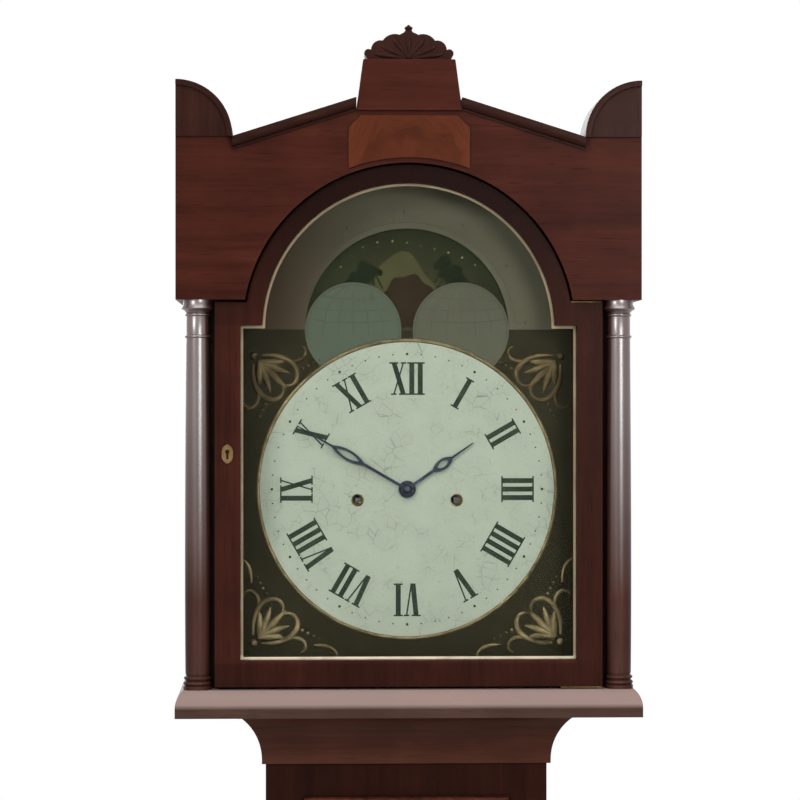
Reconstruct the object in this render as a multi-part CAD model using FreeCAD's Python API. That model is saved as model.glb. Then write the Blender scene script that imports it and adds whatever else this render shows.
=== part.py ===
import FreeCAD
import Part
import math
import os

# Tall case clock in millimetres. The floor is z = 0, the front faces -Y, and the origin lies under the
# middle of the case. A piece is a solid, or a group of like solids, in one file named for it.

# Case carcase
case_depth = 272.0          # rear of the backboard to the front of the hood base
side_board = 16.0
front_board = 20.0
back_board = 12.0
floor_board = 14.0
base_width = 400.0
base_depth = 232.0
base_height = 470.0         # floor to the top of the base boards
plinth_height = 96.0
plinth_board = 10.0         # how far the plinth stands out from the base
plinth_fillet = 2.0
panel_margin = 58.0         # sunk panel in from the edges of the base front
panel_sink = 4.0
waist_height = 60.0
waist_lip = 4.0             # waist moulding's overhang past the base
trunk_width = 294.0
trunk_depth = 186.0
trunk_height = 1020.0       # top of the base boards to the top of the throat
throat_height = 56.0
throat_flare = 29.0
throat_fillet = 4.0
moulding_fillet = 6.0
trunk_lap = 120.0           # trunk sides down inside the base
trunk_stile = 45.0
trunk_top_rail = 96.0
trunk_bottom_rail = 118.0

# Trunk door
door_thickness = 19.0
door_lip = 7.0              # ovolo round the trunk door's front edge
door_round = 3.2            # rounding of the lip's front edge
door_gap = 1.5
hinge_pin_r = 1.6
hinge_knuckle_r = 3.6
hinge_length = 54.0
hinge_leaf = 1.6
hinge_leaf_width = 16.2
hinge_inset = 110.0         # hinge middle from the door's top and bottom
keyhole_plate = 1.2
keyhole_aspect = 1.75       # height of a keyhole plate over its width
keyhole_eye_r = 2.2
keyhole_drop = 7.5          # bottom of the key slot below its eye
trunk_key_half = 9.0
trunk_key_inset = 16.0
trunk_key_rise = 60.0       # keyhole over the middle of the trunk door
hood_key_half = 5.7
hood_key_rise = 238.0       # keyhole over the foot of the hood door

# Hood
slide_gap = 0.3             # hood over throat, and other pieces that pass on different bodies
hood_width = 477.0
hood_base_height = 28.0
hood_base_lip = 8.0
base_fillet = 10.0          # square lower edge of the hood base
hood_side_gap = 1.0         # hood base beside the trunk sides
runner_width = 12.0
column_height = 398.0
column_r = 13.0
column_ring_r = 14.6
column_ring_height = 15.0
column_inset = 22.5         # column axis from the hood's outer edge
column_reveal = 0.4         # column rings behind the frieze front
side_setback = 1.0          # hood sides inside the columns' outer line
column_taper = 0.8          # shaft and neck inside the beads
astragal = 4.0
astragal_drop = 22.0        # upper bead under the head ring
hood_board = 12.0
frieze_board = 22.0
frieze_height = 166.0       # frieze bottom to the foot of the pediment
frieze_setback = 0.5        # frieze ends inside the hood base's ends
frieze_reveal = 8.0         # frieze behind the hood base's front edge
hood_top_drop = 20.0        # hood top board under the foot of the pediment
pediment_rise = 40.0
pediment_moulding = 13.0
pediment_projection = 8.0
raking_step = 2.0           # small fillet under the raking ovolo
raking_cap = 4.5            # square fillet over it
ear_r = 58.0
ear_depth = 62.0
ear_projection = 2.0        # ears in front of the frieze
ear_band = 6.0              # raised band along the curve of an ear
ear_band_rise = 3.0
block_half = 54.0
block_taper = 7.0
block_height = 39.0
block_depth = 46.0
block_projection = 4.0
fan_rise = 24.0
fan_inset = 4.0
fan_foot = 3.0
fan_lobes = 7
fan_bulge = 1.09            # a lobe's middle over its ends
fan_point = 1.35            # over 1 draws the fan's outline up to a point
fan_depth = 22.0
tip_r = 5.5
tablet_half = 62.0
tablet_margin = 5.0
tablet_fall = 17.5          # tablet's shoulders under the pediment's ridge
tablet_thickness = 2.0

# Hood door
arch_drop = 30.0            # arch centre below the frieze
door_arch_r = 168.0
door_arch_gap = 2.0
hood_door_thickness = 22.0
hood_door_recess = 6.0      # door front behind the frieze front
hood_door_gap = 2.6
hood_door_side_gap = 3.0
hood_stile = 26.0
hood_rail = 27.0
arch_band = 18.0
sight_shoulder = 4.0        # sight shoulder above the arch centre
bead = 3.0
glass_thickness = 2.5
glass_rebate = 4.0
rebate_depth = 9.0
strap_thickness = 1.6
strap_length = 40.0
strap_pin_r = 1.5
strap_pin_length = 8.0
strap_setback = 0.5         # straps inside the door's faces
strap_axis_inset = 3.0      # pin axis in from the door's edge and front
mask_thickness = 8.0
mask_gap = 1.5
mask_lap = 4.0              # mask over the dial's edges

# Dial and hands
dial_size = 356.0
dial_lift = 25.0            # dial bottom over the hood base
dial_thickness = 2.0
dial_arch_r = 156.0
dial_setback = 58.0         # dial face behind the frieze front
moon_window_r = 106.0
hump_r = 50.0
hump_offset = 56.0
moon_disc_r = 117.0
moon_drop = 8.0             # moon disc's pin below the arch centre
moon_disc_thickness = 1.4
moon_disc_gap = 0.6
moon_pin_r = 2.0
moon_washer = 2.0
winding_offset = 51.5       # winding squares from the middle of the dial
winding_drop = 11.5
winding_hole_r = 6.5
dial_hole_r = 8.0
minute_hand_length = 132.0
hour_hand_length = 84.0
hand_thickness = 1.4
hand_leaf_low = 0.40        # foot and head of the leaf, in shares of the hand's length
hand_leaf_high = 0.68
hand_leaf_half = 5.6
hand_leaf_wall = 2.6
hand_eye_margin = 5.0
hand_shank = 1.5
hand_neck = 1.2
hand_tip = 0.5
hand_fit = 0.02             # radial clearance of a fixed hand on its pipe
hour_hub = 4.0
minute_hub_r = 6.5
collet_r = 5.0
collet_step = 1.6
collet_height = 2.6
collet_taper = 0.8
shown_hour = 1
shown_minute = 50
hand_gap = 1.8              # hour hand over the dial, minute hand over the hour hand

# Movement
plate_width = 128.0
plate_height = 176.0
plate_thickness = 3.0
plate_spacing = 58.0
centre_height = 89.0        # centre arbor over the seatboard
motion_room = 24.0          # back of the dial to the front plate
seat_thickness = 20.0
seat_depth = 82.0
pillar_r = 5.0
pillar_waist = 1.4          # pillar's shank inside its middle knop
pillar_inset = 8.0
pillar_margin = 12.0
dial_foot_r = 3.5
dial_foot_drop = 38.0       # upper dial feet under the top of the plates
arbor_r = 2.5
pivot_r = 1.2
running_gap = 0.06          # radial clearance of every pivot and pipe
wheel_thickness = 2.4
pinion_length = 7.0
barrel_r = 21.0
barrel_length = 38.0
barrel_arbor_r = 4.0
barrel_pivot_r = 2.5
barrel_depth = 12.0         # barrel behind the front plate
barrel_flange = 2.0
barrel_flange_rise = 3.0
square_half = 2.8           # winding square
square_setback = 1.5        # winding square's end behind the dial
square_foot = 3.0
line_r = 0.8
line_hole_r = 5.0
line_sides = 6
knot_r = 2.6
knot_end_r = 1.6
pulley_r = 20.0             # middle of the line round the pulley
pulley_width = 9.0
pulley_flange = 2.5         # pulley's rim past the middle of the line
pulley_axle_r = 2.0
cheek_thickness = 2.0
cheek_half = 4.0
cheek_head = 5.0
yoke_drop = 6.0             # stirrup's yoke under the pulley's rim
yoke_thickness = 3.0
hook_r = 2.5
weight_r = 28.0
weight_height = 240.0
weight_shoulder = 6.0
weight_lift = 140.0         # lowest weight over the floor
weight_hook = 50.0          # top of the weight to the pulley's axle
line_y = 2.0                # plane of the gut lines
spoke_angle = 11.0          # half the angle of a spoke between two windows
great_teeth = 96
great_depth = 3.0           # great wheel behind the front plate
great_hub_r = 9.0
great_hub = 2.0
centre_pinion = 8
centre_teeth = 60
centre_module = 0.9
centre_depth = 11.0         # centre wheel in front of the back plate
centre_hub_r = 7.0
centre_rim_r = 21.5
third_pinion = 8
third_teeth = 56
third_module = 0.8
third_depth = 31.0          # third wheel behind the front plate
third_hub_r = 6.0
third_rim_r = 17.5
third_angle = 25.0          # third arbor's lean from straight above the centre
escape_pinion = 7
escape_teeth = 30
escape_r = 18.0
escape_depth = 8.0          # escape wheel in front of the back plate
escape_tooth = 4.5
escape_hub_r = 5.0
escape_rim_r = 11.0
escape_arbor_r = 1.7        # thinner than its small pinion's root
pallet_gap = 1.2            # pallet tips off the escape wheel's tip circle
pallet_thickness = 4.4
pallet_nib = 6.0
pallet_crown = 5.0
crutch_depth = 8.0          # crutch behind the back plate
crutch_thickness = 3.0
crutch_half = 2.5
fork_wall = 3.0
fork_reach = 6.0
fork_play = 0.5
cock_depth = 10.0           # back cock behind the crutch's front
cock_thickness = 4.0
cock_half = 30.0
cock_arm = 7.0
cock_rise = 10.0
ledge_drop = 2.0            # suspension ledge under the pallet arbor
ledge_half = 12.0
ledge_reach = 10.0
strip_slot = 1.0
strip_room = 6.0
cannon_teeth = 36
minute_pinion = 6
hour_teeth = 72
cannon_module = 0.75
cannon_depth = 6.0          # cannon wheel in front of the front plate
cannon_r = 3.5
front_arbor_r = 2.0
arbor_tail = 4.0
hour_depth = 6.0            # hour wheel in front of the cannon wheel
hour_pipe_r = 5.0
minute_pivot_r = 1.1
minute_tail = 5.0
minute_cock_plate = 2.0
minute_cock_gap = 4.0
minute_cock_half = 3.9
minute_cock_lap = 1.0
cock_post_r = 2.5
cock_post_reach = 18.0      # post of the minute cock from the minute arbor
minute_angle = 135.0        # minute wheel's stud seen from the front, from +X
pendulum_length = 990.0     # suspension to the middle of the bob
pendulum_y = 52.0
spring_length = 60.0
cross_pin_r = 1.4
cross_pin_half = 5.0
strip_half = 0.3            # half the suspension strip's thickness
strip_reach = 4.5           # half its width
ferrule_wall = 1.8
ferrule_length = 16.0
ferrule_lap = 2.0
nut_r = 10.0
nut_height = 8.0
rod_tail = 16.0             # rod's thread under the rating nut
rod_r = 3.2
bob_r = 55.0
bob_thickness = 28.0
bob_rim = 1.5               # half the bob's thickness at its edge
bob_bend_r = 33.0           # where the bob's face bends
bob_bend = 10.0             # half its thickness there
crutch_length = 136.0
bell_r = 46.0
bell_depth = 31.0           # bell's axis behind the front plate
bell_wall = 2.5
bell_flat = 6.0             # radius of the flat crown
bell_shoulder = 42.0        # turn of the bell's shoulder up from its rim, in degrees
bell_rise = 34.0            # bell's rim over the plates
stand_bar = 6.0
stand_x = 48.0
stand_thickness = 4.0
stand_foot = 40.0           # bell stand's foot under the top of the plates
hammer_gap = 2.0            # hammer at rest off the bell
hammer_offset = 36.0        # hammer arbor to the left of the middle
hammer_drop = 28.0
hammer_rise = 5.0           # hammer head over the bell's rim
hammer_r = 6.0
hammer_length = 14.0
hammer_stem_half = 2.0
hammer_hub_r = 5.0
hammer_hub_half = 4.0

# Levels and faces that follow from the sizes above
back_y = case_depth / 2
front_y = -back_y
trunk_half = trunk_width / 2
trunk_front_y = back_y - trunk_depth
base_half = base_width / 2
base_front_y = back_y - base_depth
board_back_y = back_y - back_board
throat_z = base_height + trunk_height
hood_half = hood_width / 2
hood_z = throat_z + slide_gap
hood_base_z = hood_z + hood_base_height
frieze_z = hood_base_z + column_height
foot_z = frieze_z + frieze_height
ridge_z = foot_z + pediment_rise
crest_z = ridge_z + block_height
arch_z = frieze_z - arch_drop
frieze_y = front_y + frieze_reveal
frieze_back_y = frieze_y + frieze_board
column_x = hood_half - column_inset
column_y = frieze_y + column_ring_r + column_reveal
door_half = column_x - column_ring_r - hood_door_side_gap
door_y = frieze_y + hood_door_recess
door_back_y = door_y + hood_door_thickness
door_z = hood_base_z + hood_door_gap
shoulder_z = frieze_z - hood_door_gap
sight_half = door_half - hood_stile
sight_z = door_z + hood_rail
sight_arch_r = door_arch_r - arch_band
sight_top_z = arch_z + sight_shoulder
mask_y = max(door_back_y + mask_gap, column_y + column_ring_r + slide_gap)
side_half = column_x + column_r - side_setback
side_inner = side_half - hood_board
dial_y = frieze_y + dial_setback
dial_back_y = dial_y + dial_thickness
dial_z = hood_base_z + dial_lift + dial_size / 2
seat_z = dial_z - centre_height
plate_front_y = dial_back_y + motion_room
plate_inner_y = plate_front_y + plate_thickness
plate_back_y = plate_inner_y + plate_spacing
plate_rear_y = plate_back_y + plate_thickness
plate_top_z = seat_z + plate_height


# Shaping helpers
def at(x, y, z):
    return FreeCAD.Vector(x, y, z)


def block(x0, x1, y0, y1, z0, z1):
    return Part.makeBox(x1 - x0, y1 - y0, z1 - z0, at(x0, y0, z0))


def rod(radius, y0, y1, x, z):
    return Part.makeCylinder(radius, y1 - y0, at(x, y0, z), at(0, 1, 0))


def post(radius, z0, z1, x, y):
    return Part.makeCylinder(radius, z1 - z0, at(x, y, z0), at(0, 0, 1))


def sheet(points, plane):
    """Closed face through (a, b) points; a third pair member ('arc', a, b) bows the next edge through it."""
    edges = []
    last = None
    first = None
    bow = None
    for item in points:
        if item[0] == "arc":
            bow = plane(item[1], item[2])
            continue
        here = plane(item[0], item[1])
        if last is not None:
            edges.append(Part.Arc(last, bow, here).toShape() if bow else Part.makeLine(last, here))
        first = first or here
        last = here
        bow = None
    edges.append(Part.Arc(last, bow, first).toShape() if bow else Part.makeLine(last, first))
    return Part.Face(Part.Wire(edges))


def front_prism(points, y0, y1):
    """Outline of (x, z) points seen from the front, drawn out from y0 to y1."""
    return sheet(points, lambda x, z: at(x, y0, z)).extrude(at(0, y1 - y0, 0))


def turned(profile, x, y):
    """Solid turned about a vertical axis from (radius, z) points."""
    return sheet(profile, lambda r, z: at(x + r, y, z)).revolve(at(x, y, 0), at(0, 0, 1), 360)


def turned_y(profile, x, z):
    """Solid turned about an axis along Y from (radius, y) points."""
    return sheet(profile, lambda r, y: at(x + r, y, z)).revolve(at(x, 0, z), at(0, 1, 0), 360)


def mirrored(shape):
    return shape.mirror(at(0, 0, 0), at(1, 0, 0))


def pair(shape):
    return [shape, mirrored(shape)]


def export(name, solids):
    group = solids if isinstance(solids, list) else [solids]
    Part.makeCompound(group).exportStep("parts/" + name + ".step")


def mitred(profile, half, face_y, end_y):
    """Front and side runs of a moulding; profile points are (outward, z) from the planes half and face_y."""
    reach = half + case_depth
    low = min(point[-1] for point in profile) - 1.0
    high = max(point[-1] for point in profile) + 1.0
    corner = [(half - reach, face_y + reach), (half + reach, face_y - reach), (half + reach, face_y + reach)]
    wedge = sheet(corner, lambda x, y: at(x, y, low)).extrude(at(0, 0, high - low))
    front = sheet(profile, lambda d, z: at(-reach, face_y - d, z)).extrude(at(2 * reach, 0, 0))
    side = sheet(profile, lambda d, z: at(half + d, end_y - reach, z)).extrude(at(0, reach, 0))
    return [front.cut(wedge).cut(mirrored(wedge))] + pair(side.common(wedge))


def bend(d0, z0, d1, z1):
    """Middle of an arc that leaves (d0, z0) straight up or down and bends over to (d1, z1)."""
    across = d1 - d0
    rise = z1 - z0
    radius = (across ** 2 + rise ** 2) / (2 * abs(across))
    half_turn = math.asin(min(1.0, abs(rise) / radius)) / 2
    outward = d0 + math.copysign(radius * (1 - math.cos(half_turn)), across)
    return ("arc", outward, z0 + math.copysign(radius * math.sin(half_turn), rise))


def break_arch(half, bottom, shoulder, centre, radius):
    """Points of a square-shouldered outline with a round arch on top."""
    spring = math.sqrt(radius ** 2 - (shoulder - centre) ** 2)
    return [(-half, bottom), (half, bottom), (half, shoulder), (spring, shoulder),
            ("arc", 0, centre + radius), (-spring, shoulder), (-half, shoulder)]


os.makedirs("parts", exist_ok=True)

# Plinth: skirting boards mitred round the foot of the base, with an ovolo along the top
plinth_profile = [(0, 0), (plinth_board, 0), (plinth_board, plinth_height - plinth_board),
                  bend(plinth_board, plinth_height - plinth_board, plinth_fillet, plinth_height),
                  (plinth_fillet, plinth_height), (0, plinth_height)]
export("plinth", mitred(plinth_profile, base_half, base_front_y, back_y))

# Base: a front board with a sunk panel, two sides and a floor
base_inner_y = base_front_y + front_board
base_front = block(-base_half, base_half, base_front_y, base_inner_y, 0, base_height)
panel_half = base_half - panel_margin
panel = block(-panel_half, panel_half, base_front_y - 1, base_front_y + panel_sink,
              plinth_height + panel_margin, base_height - panel_margin)
export("base_front", base_front.cut(panel))
base_inner = base_half - side_board
export("base_sides", pair(block(base_inner, base_half, base_inner_y, board_back_y, 0, base_height)))
floor_z = plinth_height - floor_board
export("base_floor", block(-base_inner, base_inner, base_inner_y, board_back_y, floor_z, plinth_height))

# Waist moulding: a deep cavetto from the base up to the trunk
waist_reach = base_half - trunk_half + waist_lip
waist_z = base_height + waist_height
waist_profile = [(0, base_height), (waist_reach, base_height), (waist_reach, base_height + moulding_fillet),
                 bend(moulding_fillet, waist_z - moulding_fillet, waist_reach, base_height + moulding_fillet),
                 (moulding_fillet, waist_z - moulding_fillet), (moulding_fillet, waist_z), (0, waist_z)]
export("waist_moulding", mitred(waist_profile, trunk_half, trunk_front_y, back_y))

# Trunk: sides that run up inside the hood to carry the seatboard, and a front frame round the door
trunk_inner_y = trunk_front_y + front_board
seat_under = seat_z - seat_thickness
trunk_foot = base_height - trunk_lap
trunk_inner = trunk_half - side_board
trunk_side = block(trunk_inner, trunk_half, trunk_inner_y, board_back_y, trunk_foot, seat_under)
export("trunk_sides", pair(trunk_side))
opening_half = trunk_half - trunk_stile
opening_low = base_height + trunk_bottom_rail
opening_high = throat_z - trunk_top_rail
trunk_stiles = pair(block(opening_half, trunk_half, trunk_front_y, trunk_inner_y, base_height, throat_z))
trunk_rails = [block(-opening_half, opening_half, trunk_front_y, trunk_inner_y, low, high)
               for low, high in ((base_height, opening_low), (opening_high, throat_z))]
export("trunk_front", trunk_stiles + trunk_rails)

# Throat moulding: a cavetto under the hood
throat_low = throat_z - throat_height
throat_lip = throat_flare - throat_fillet
throat_top = throat_z - moulding_fillet
throat_profile = [(0, throat_low), (throat_fillet, throat_low), (throat_fillet, throat_low + throat_fillet),
                  bend(throat_fillet, throat_low + throat_fillet, throat_lip, throat_top),
                  (throat_lip, throat_top), (throat_flare, throat_top), (throat_flare, throat_z),
                  (0, throat_z)]
export("throat_moulding", mitred(throat_profile, trunk_half, trunk_front_y, back_y))

# Backboard: one board the height of the case, widened behind the base and behind the hood
hood_top_z = foot_z - hood_top_drop
wing_half = side_inner - hood_side_gap
wing_z = hood_base_z + hood_side_gap
backboard = block(-trunk_half, trunk_half, board_back_y, back_y, 0, hood_top_z - hood_side_gap)
base_wing = block(trunk_half, base_half, board_back_y, back_y, 0, base_height)
hood_wing = block(trunk_half, wing_half, board_back_y, back_y, wing_z, hood_top_z - hood_side_gap)
export("backboard", [backboard] + pair(base_wing) + pair(hood_wing))

# Seatboard across the trunk sides, with holes for the gut lines
barrel_z = dial_z - winding_drop
line_wrap_r = barrel_r + line_r + slide_gap
line_out_x = winding_offset + line_wrap_r
pulley_x = line_out_x - pulley_r
line_in_x = pulley_x - pulley_r
seat_front_y = line_y - seat_depth / 2
seatboard = block(-trunk_half, trunk_half, seat_front_y, seat_front_y + seat_depth, seat_under, seat_z)
for side in (-1, 1):
    seatboard = seatboard.cut(post(line_hole_r, seat_under - 1, seat_z + 1, side * line_out_x, line_y))
    seatboard = seatboard.cut(post(line_r + slide_gap, seat_under - 1, seat_z + 1, side * line_in_x, line_y))
export("seatboard", seatboard)

# Runners on the trunk sides that keep the sliding hood down on the throat
runner_z = hood_base_z + slide_gap
runner = block(trunk_half, trunk_half + runner_width, trunk_inner_y, board_back_y, runner_z,
               runner_z + runner_width)
export("hood_runners", pair(runner))

# Trunk door: a slab in the opening with a rounded lip lying over the frame
slab_half = opening_half - door_gap
lip_half = slab_half + door_lip
slab_low = opening_low + door_gap
slab_high = opening_high - door_gap
lip_back_y = trunk_front_y - slide_gap
lip_y = lip_back_y - door_lip
lip_low = slab_low - door_lip
lip_high = slab_high + door_lip
lip = block(-lip_half, lip_half, lip_y, lip_back_y, lip_low, lip_high)
front_edges = [edge for edge in lip.Edges if edge.BoundBox.YMax < lip_y + 0.01]
lip = lip.makeFillet(door_round, front_edges)
slab = block(-slab_half, slab_half, lip_back_y, lip_y + door_thickness, slab_low, slab_high)
export("trunk_door", lip.fuse(slab).removeSplitter())

# Butt hinges: the fixed half has the leaf, outer knuckles and pin; the moving half the middle knuckle
pin_x = lip_half + hinge_knuckle_r + slide_gap
pin_y = trunk_front_y - hinge_knuckle_r - slide_gap
fixed_hinges = []
moving_hinges = []
for middle in (lip_low + hinge_inset, lip_high - hinge_inset):
    low = middle - hinge_length / 2
    third = hinge_length / 3
    pin = post(hinge_pin_r, low, low + hinge_length, pin_x, pin_y)
    outer = post(hinge_knuckle_r, low, low + third - slide_gap, pin_x, pin_y)
    outer = outer.fuse(post(hinge_knuckle_r, low + 2 * third + slide_gap, low + hinge_length, pin_x, pin_y))
    leaf = block(pin_x, pin_x + hinge_leaf_width, trunk_front_y - hinge_leaf, trunk_front_y, low,
                 low + hinge_length)
    web = block(pin_x, pin_x + hinge_knuckle_r, pin_y, trunk_front_y, low, low + third - slide_gap)
    upper_web = web.translated(at(0, 0, 2 * third + slide_gap))
    leaf = leaf.cut(block(pin_x - 1, pin_x + hinge_knuckle_r + slide_gap, trunk_front_y - hinge_leaf - 1,
                          trunk_front_y + 1, low + third - slide_gap, low + 2 * third + slide_gap))
    fixed_hinges.append(outer.fuse([pin, leaf, web, upper_web]).removeSplitter())
    knuckle = post(hinge_knuckle_r, low + third, low + 2 * third, pin_x, pin_y)
    tongue_y = pin_y + slide_gap
    tongue = block(lip_half, pin_x, tongue_y, tongue_y + hinge_leaf, low + third, low + 2 * third)
    bore = post(hinge_pin_r + running_gap, low, low + hinge_length, pin_x, pin_y)
    moving_hinges.append(knuckle.fuse(tongue).cut(bore).removeSplitter())
export("trunk_hinge_fixed", fixed_hinges)
export("trunk_hinge_moving", moving_hinges)


def keyhole(x, z, y, half_width):
    """Small oval plate with a keyhole through it, its back on the plane y."""
    half_height = half_width * keyhole_aspect
    across = half_width * math.sqrt(0.5)
    along = half_height * math.sqrt(0.5)
    plate = front_prism([(x - half_width, z), ("arc", x - across, z + along), (x, z + half_height),
                         ("arc", x + across, z + along), (x + half_width, z), ("arc", x + across, z - along),
                         (x, z - half_height), ("arc", x - across, z - along)], y - keyhole_plate, y)
    eye_z = z + keyhole_eye_r
    eye = rod(keyhole_eye_r, y - keyhole_plate - 1, y + 1, x, eye_z)
    slot_half = keyhole_eye_r / 2
    slot = block(x - slot_half, x + slot_half, y - keyhole_plate - 1, y + 1, eye_z - keyhole_drop, eye_z)
    return plate.cut(eye.fuse(slot))


trunk_key_x = -slab_half + trunk_key_inset
trunk_key_z = (slab_low + slab_high) / 2 + trunk_key_rise
export("trunk_escutcheon", keyhole(trunk_key_x, trunk_key_z, lip_y, trunk_key_half))

# Hood base: wide mitred rails with an ovolo over a square fillet
strap_x = door_half - strap_axis_inset
strap_y = door_y + strap_axis_inset
hood_rail_width = hood_half - trunk_half - hood_side_gap
hood_base_profile = [(-hood_rail_width, hood_z), (0, hood_z), (0, hood_z + base_fillet),
                     bend(0, hood_z + base_fillet, -hood_base_lip, hood_base_z),
                     (-hood_base_lip, hood_base_z), (-hood_rail_width, hood_base_z)]
hood_base = mitred(hood_base_profile, hood_half, front_y, back_y)
strap_hole = strap_pin_r + running_gap
foot_socket = post(strap_hole, hood_base_z - strap_pin_length - 1, hood_base_z + 1, strap_x, strap_y)
hood_base[0] = hood_base[0].cut(foot_socket)
export("hood_base", hood_base)

# Hood sides and top board
export("hood_sides", pair(block(side_inner, side_half, mask_y, back_y, hood_base_z, hood_top_z)))
export("hood_top", block(-side_half, side_half, frieze_back_y, back_y, hood_top_z, hood_top_z + hood_board))

# Frieze: an arched front under a sloping pediment, with a return along each side
frieze_half = hood_half - frieze_setback
ear_x = frieze_half - ear_r
slope_foot = foot_z - pediment_moulding
slope_top = ridge_z - pediment_moulding
cut_r = door_arch_r + door_arch_gap
cut_x = math.sqrt(cut_r ** 2 - arch_drop ** 2)
frieze_front = front_prism([(cut_x, frieze_z), (frieze_half, frieze_z), (frieze_half, foot_z),
                            (ear_x, foot_z), (ear_x, slope_foot), (block_half, slope_top),
                            (-block_half, slope_top),
                            (-ear_x, slope_foot), (-ear_x, foot_z), (-frieze_half, foot_z),
                            (-frieze_half, frieze_z), (-cut_x, frieze_z), ("arc", 0, arch_z + cut_r)],
                           frieze_y, frieze_back_y)
head_socket = post(strap_hole, frieze_z - 1, frieze_z + strap_pin_length + 1, strap_x, strap_y)
frieze_front = frieze_front.cut(head_socket)
frieze_return = block(side_half, frieze_half, frieze_back_y, back_y, frieze_z, foot_z)
export("hood_frieze", [frieze_front] + pair(frieze_return))

# Raking mouldings: an ovolo under a square fillet, drawn down each slope of the pediment
raking_profile = [(-frieze_board, 0), (raking_step, 0), (raking_step, raking_step),
                  bend(pediment_projection, pediment_moulding - raking_cap, raking_step, raking_step),
                  (pediment_projection, pediment_moulding - raking_cap),
                  (pediment_projection, pediment_moulding), (-frieze_board, pediment_moulding)]
raking = sheet(raking_profile, lambda d, h: at(block_half, frieze_y - d, slope_top + h))
raking = raking.extrude(at(ear_x - block_half, 0, slope_foot - slope_top))
export("pediment_mouldings", pair(raking))

# Ears: quarter-round blocks on the corners of the frieze, with a raised band along the curve
ear_bow = ear_r * math.sqrt(0.5)
ear_y = frieze_y - ear_projection
ear_rear = ear_y + ear_depth
ear = front_prism([(frieze_half, foot_z), (frieze_half, foot_z + ear_r),
                   ("arc", frieze_half - ear_bow, foot_z + ear_bow), (ear_x, foot_z)],
                  ear_y - ear_band_rise, ear_rear)
sunk = rod(ear_r - ear_band, ear_y - ear_band_rise - 1, ear_y, frieze_half, foot_z)
export("ears", pair(ear.cut(sunk)))

# Cresting: a tapered block, a lobed fan on it and a small turned tip
crest_y = frieze_y - block_projection
crest_half = block_half - block_taper
cresting_block = front_prism([(-block_half, slope_top), (block_half, slope_top), (crest_half, crest_z),
                              (-crest_half, crest_z)], crest_y, crest_y + block_depth)
export("cresting_block", cresting_block)
fan_half = crest_half - fan_inset
lobe = math.pi / fan_lobes
lobe_z = crest_z + fan_foot
fan = [(-fan_half, crest_z), (fan_half, crest_z), (fan_half, lobe_z)]
for k in range(fan_lobes):
    middle = (k + 0.5) * lobe
    edge = (k + 1) * lobe
    bulge_x = fan_half * fan_bulge * math.cos(middle)
    fan.append(("arc", bulge_x, lobe_z + fan_rise * fan_bulge * math.sin(middle) ** fan_point))
    fan.append((fan_half * math.cos(edge), lobe_z + fan_rise * math.sin(edge) ** fan_point))
fan_y = crest_y + (block_depth - fan_depth) / 2
fan_solid = front_prism(fan, fan_y, fan_y + fan_depth)
tip_z = lobe_z + fan_rise * fan_bulge
tip = turned([(0, tip_z), (tip_r, tip_z), (tip_r * 0.6, tip_z + tip_r * 0.5), (tip_r * 0.8, tip_z + tip_r),
              (0, tip_z + 1.6 * tip_r)], 0, fan_y + fan_depth / 2)
export("cresting_fan", [fan_solid, tip])

# Tablet: a veneered panel over the arch
tablet_r = cut_r + tablet_margin
tablet_side = arch_z + math.sqrt(tablet_r ** 2 - tablet_half ** 2)
tablet_top = slope_top - tablet_margin
tablet_shoulder = slope_top - tablet_fall
tablet = front_prism([(tablet_half, tablet_side), (tablet_half, tablet_shoulder),
                      (block_half - tablet_margin, tablet_top), (tablet_margin - block_half, tablet_top),
                      (-tablet_half, tablet_shoulder), (-tablet_half, tablet_side),
                      ("arc", 0, arch_z + tablet_r)], frieze_y - tablet_thickness, frieze_y)
export("frieze_tablet", tablet)

# Dial mask: a board behind the door that covers the edges of the dial
dial_half = dial_size / 2
dial_low = dial_z - dial_half
dial_shoulder = dial_z + dial_half
mask = block(-side_inner, side_inner, mask_y, mask_y + mask_thickness, hood_base_z, hood_top_z)
mask_outline = break_arch(dial_half - mask_lap, dial_low + mask_lap, dial_shoulder - mask_lap, arch_z,
                          dial_arch_r - mask_lap)
export("dial_mask", mask.cut(front_prism(mask_outline, mask_y - 1, mask_y + mask_thickness + 1)))

# Columns: turned shafts with a thin bead near each end, in turned rings at the foot and head
shaft_low = hood_base_z + column_ring_height
shaft_high = frieze_z - column_ring_height
astragal_z = shaft_high - astragal_drop
shaft = post(column_r - column_taper, shaft_low, shaft_high, column_x, column_y)
shaft = shaft.fuse([post(column_r, shaft_low, shaft_low + astragal, column_x, column_y),
                    post(column_r, astragal_z, astragal_z + astragal, column_x, column_y)])
export("columns", pair(shaft))


def ring(low, high):
    """Turned ring: a wide foot, a neck and a collar between two levels, wide end at low."""
    step = (high - low) / 4
    neck = column_r - column_taper
    collar = (column_ring_r + neck) / 2
    return turned([(0, low), (column_ring_r, low), (column_ring_r, low + 2 * step), (neck, low + 2 * step),
                   (neck, low + 3 * step), (collar, low + 3 * step), (collar, high), (0, high)],
                  column_x, column_y)


export("column_rings", pair(ring(hood_base_z, shaft_low)) + pair(ring(frieze_z, shaft_high)))

# Hood door: two stiles, a bottom rail and an arched head of four jointed segments, rebated for the glass
door_outline = break_arch(door_half, door_z, shoulder_z, arch_z, door_arch_r)
rebate_y = door_back_y - rebate_depth


def sight_inset(inset):
    """The sight's outline drawn in all round, or let out where the inset is negative."""
    return break_arch(sight_half - inset, sight_z + inset, sight_top_z - inset, arch_z, sight_arch_r - inset)


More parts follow.
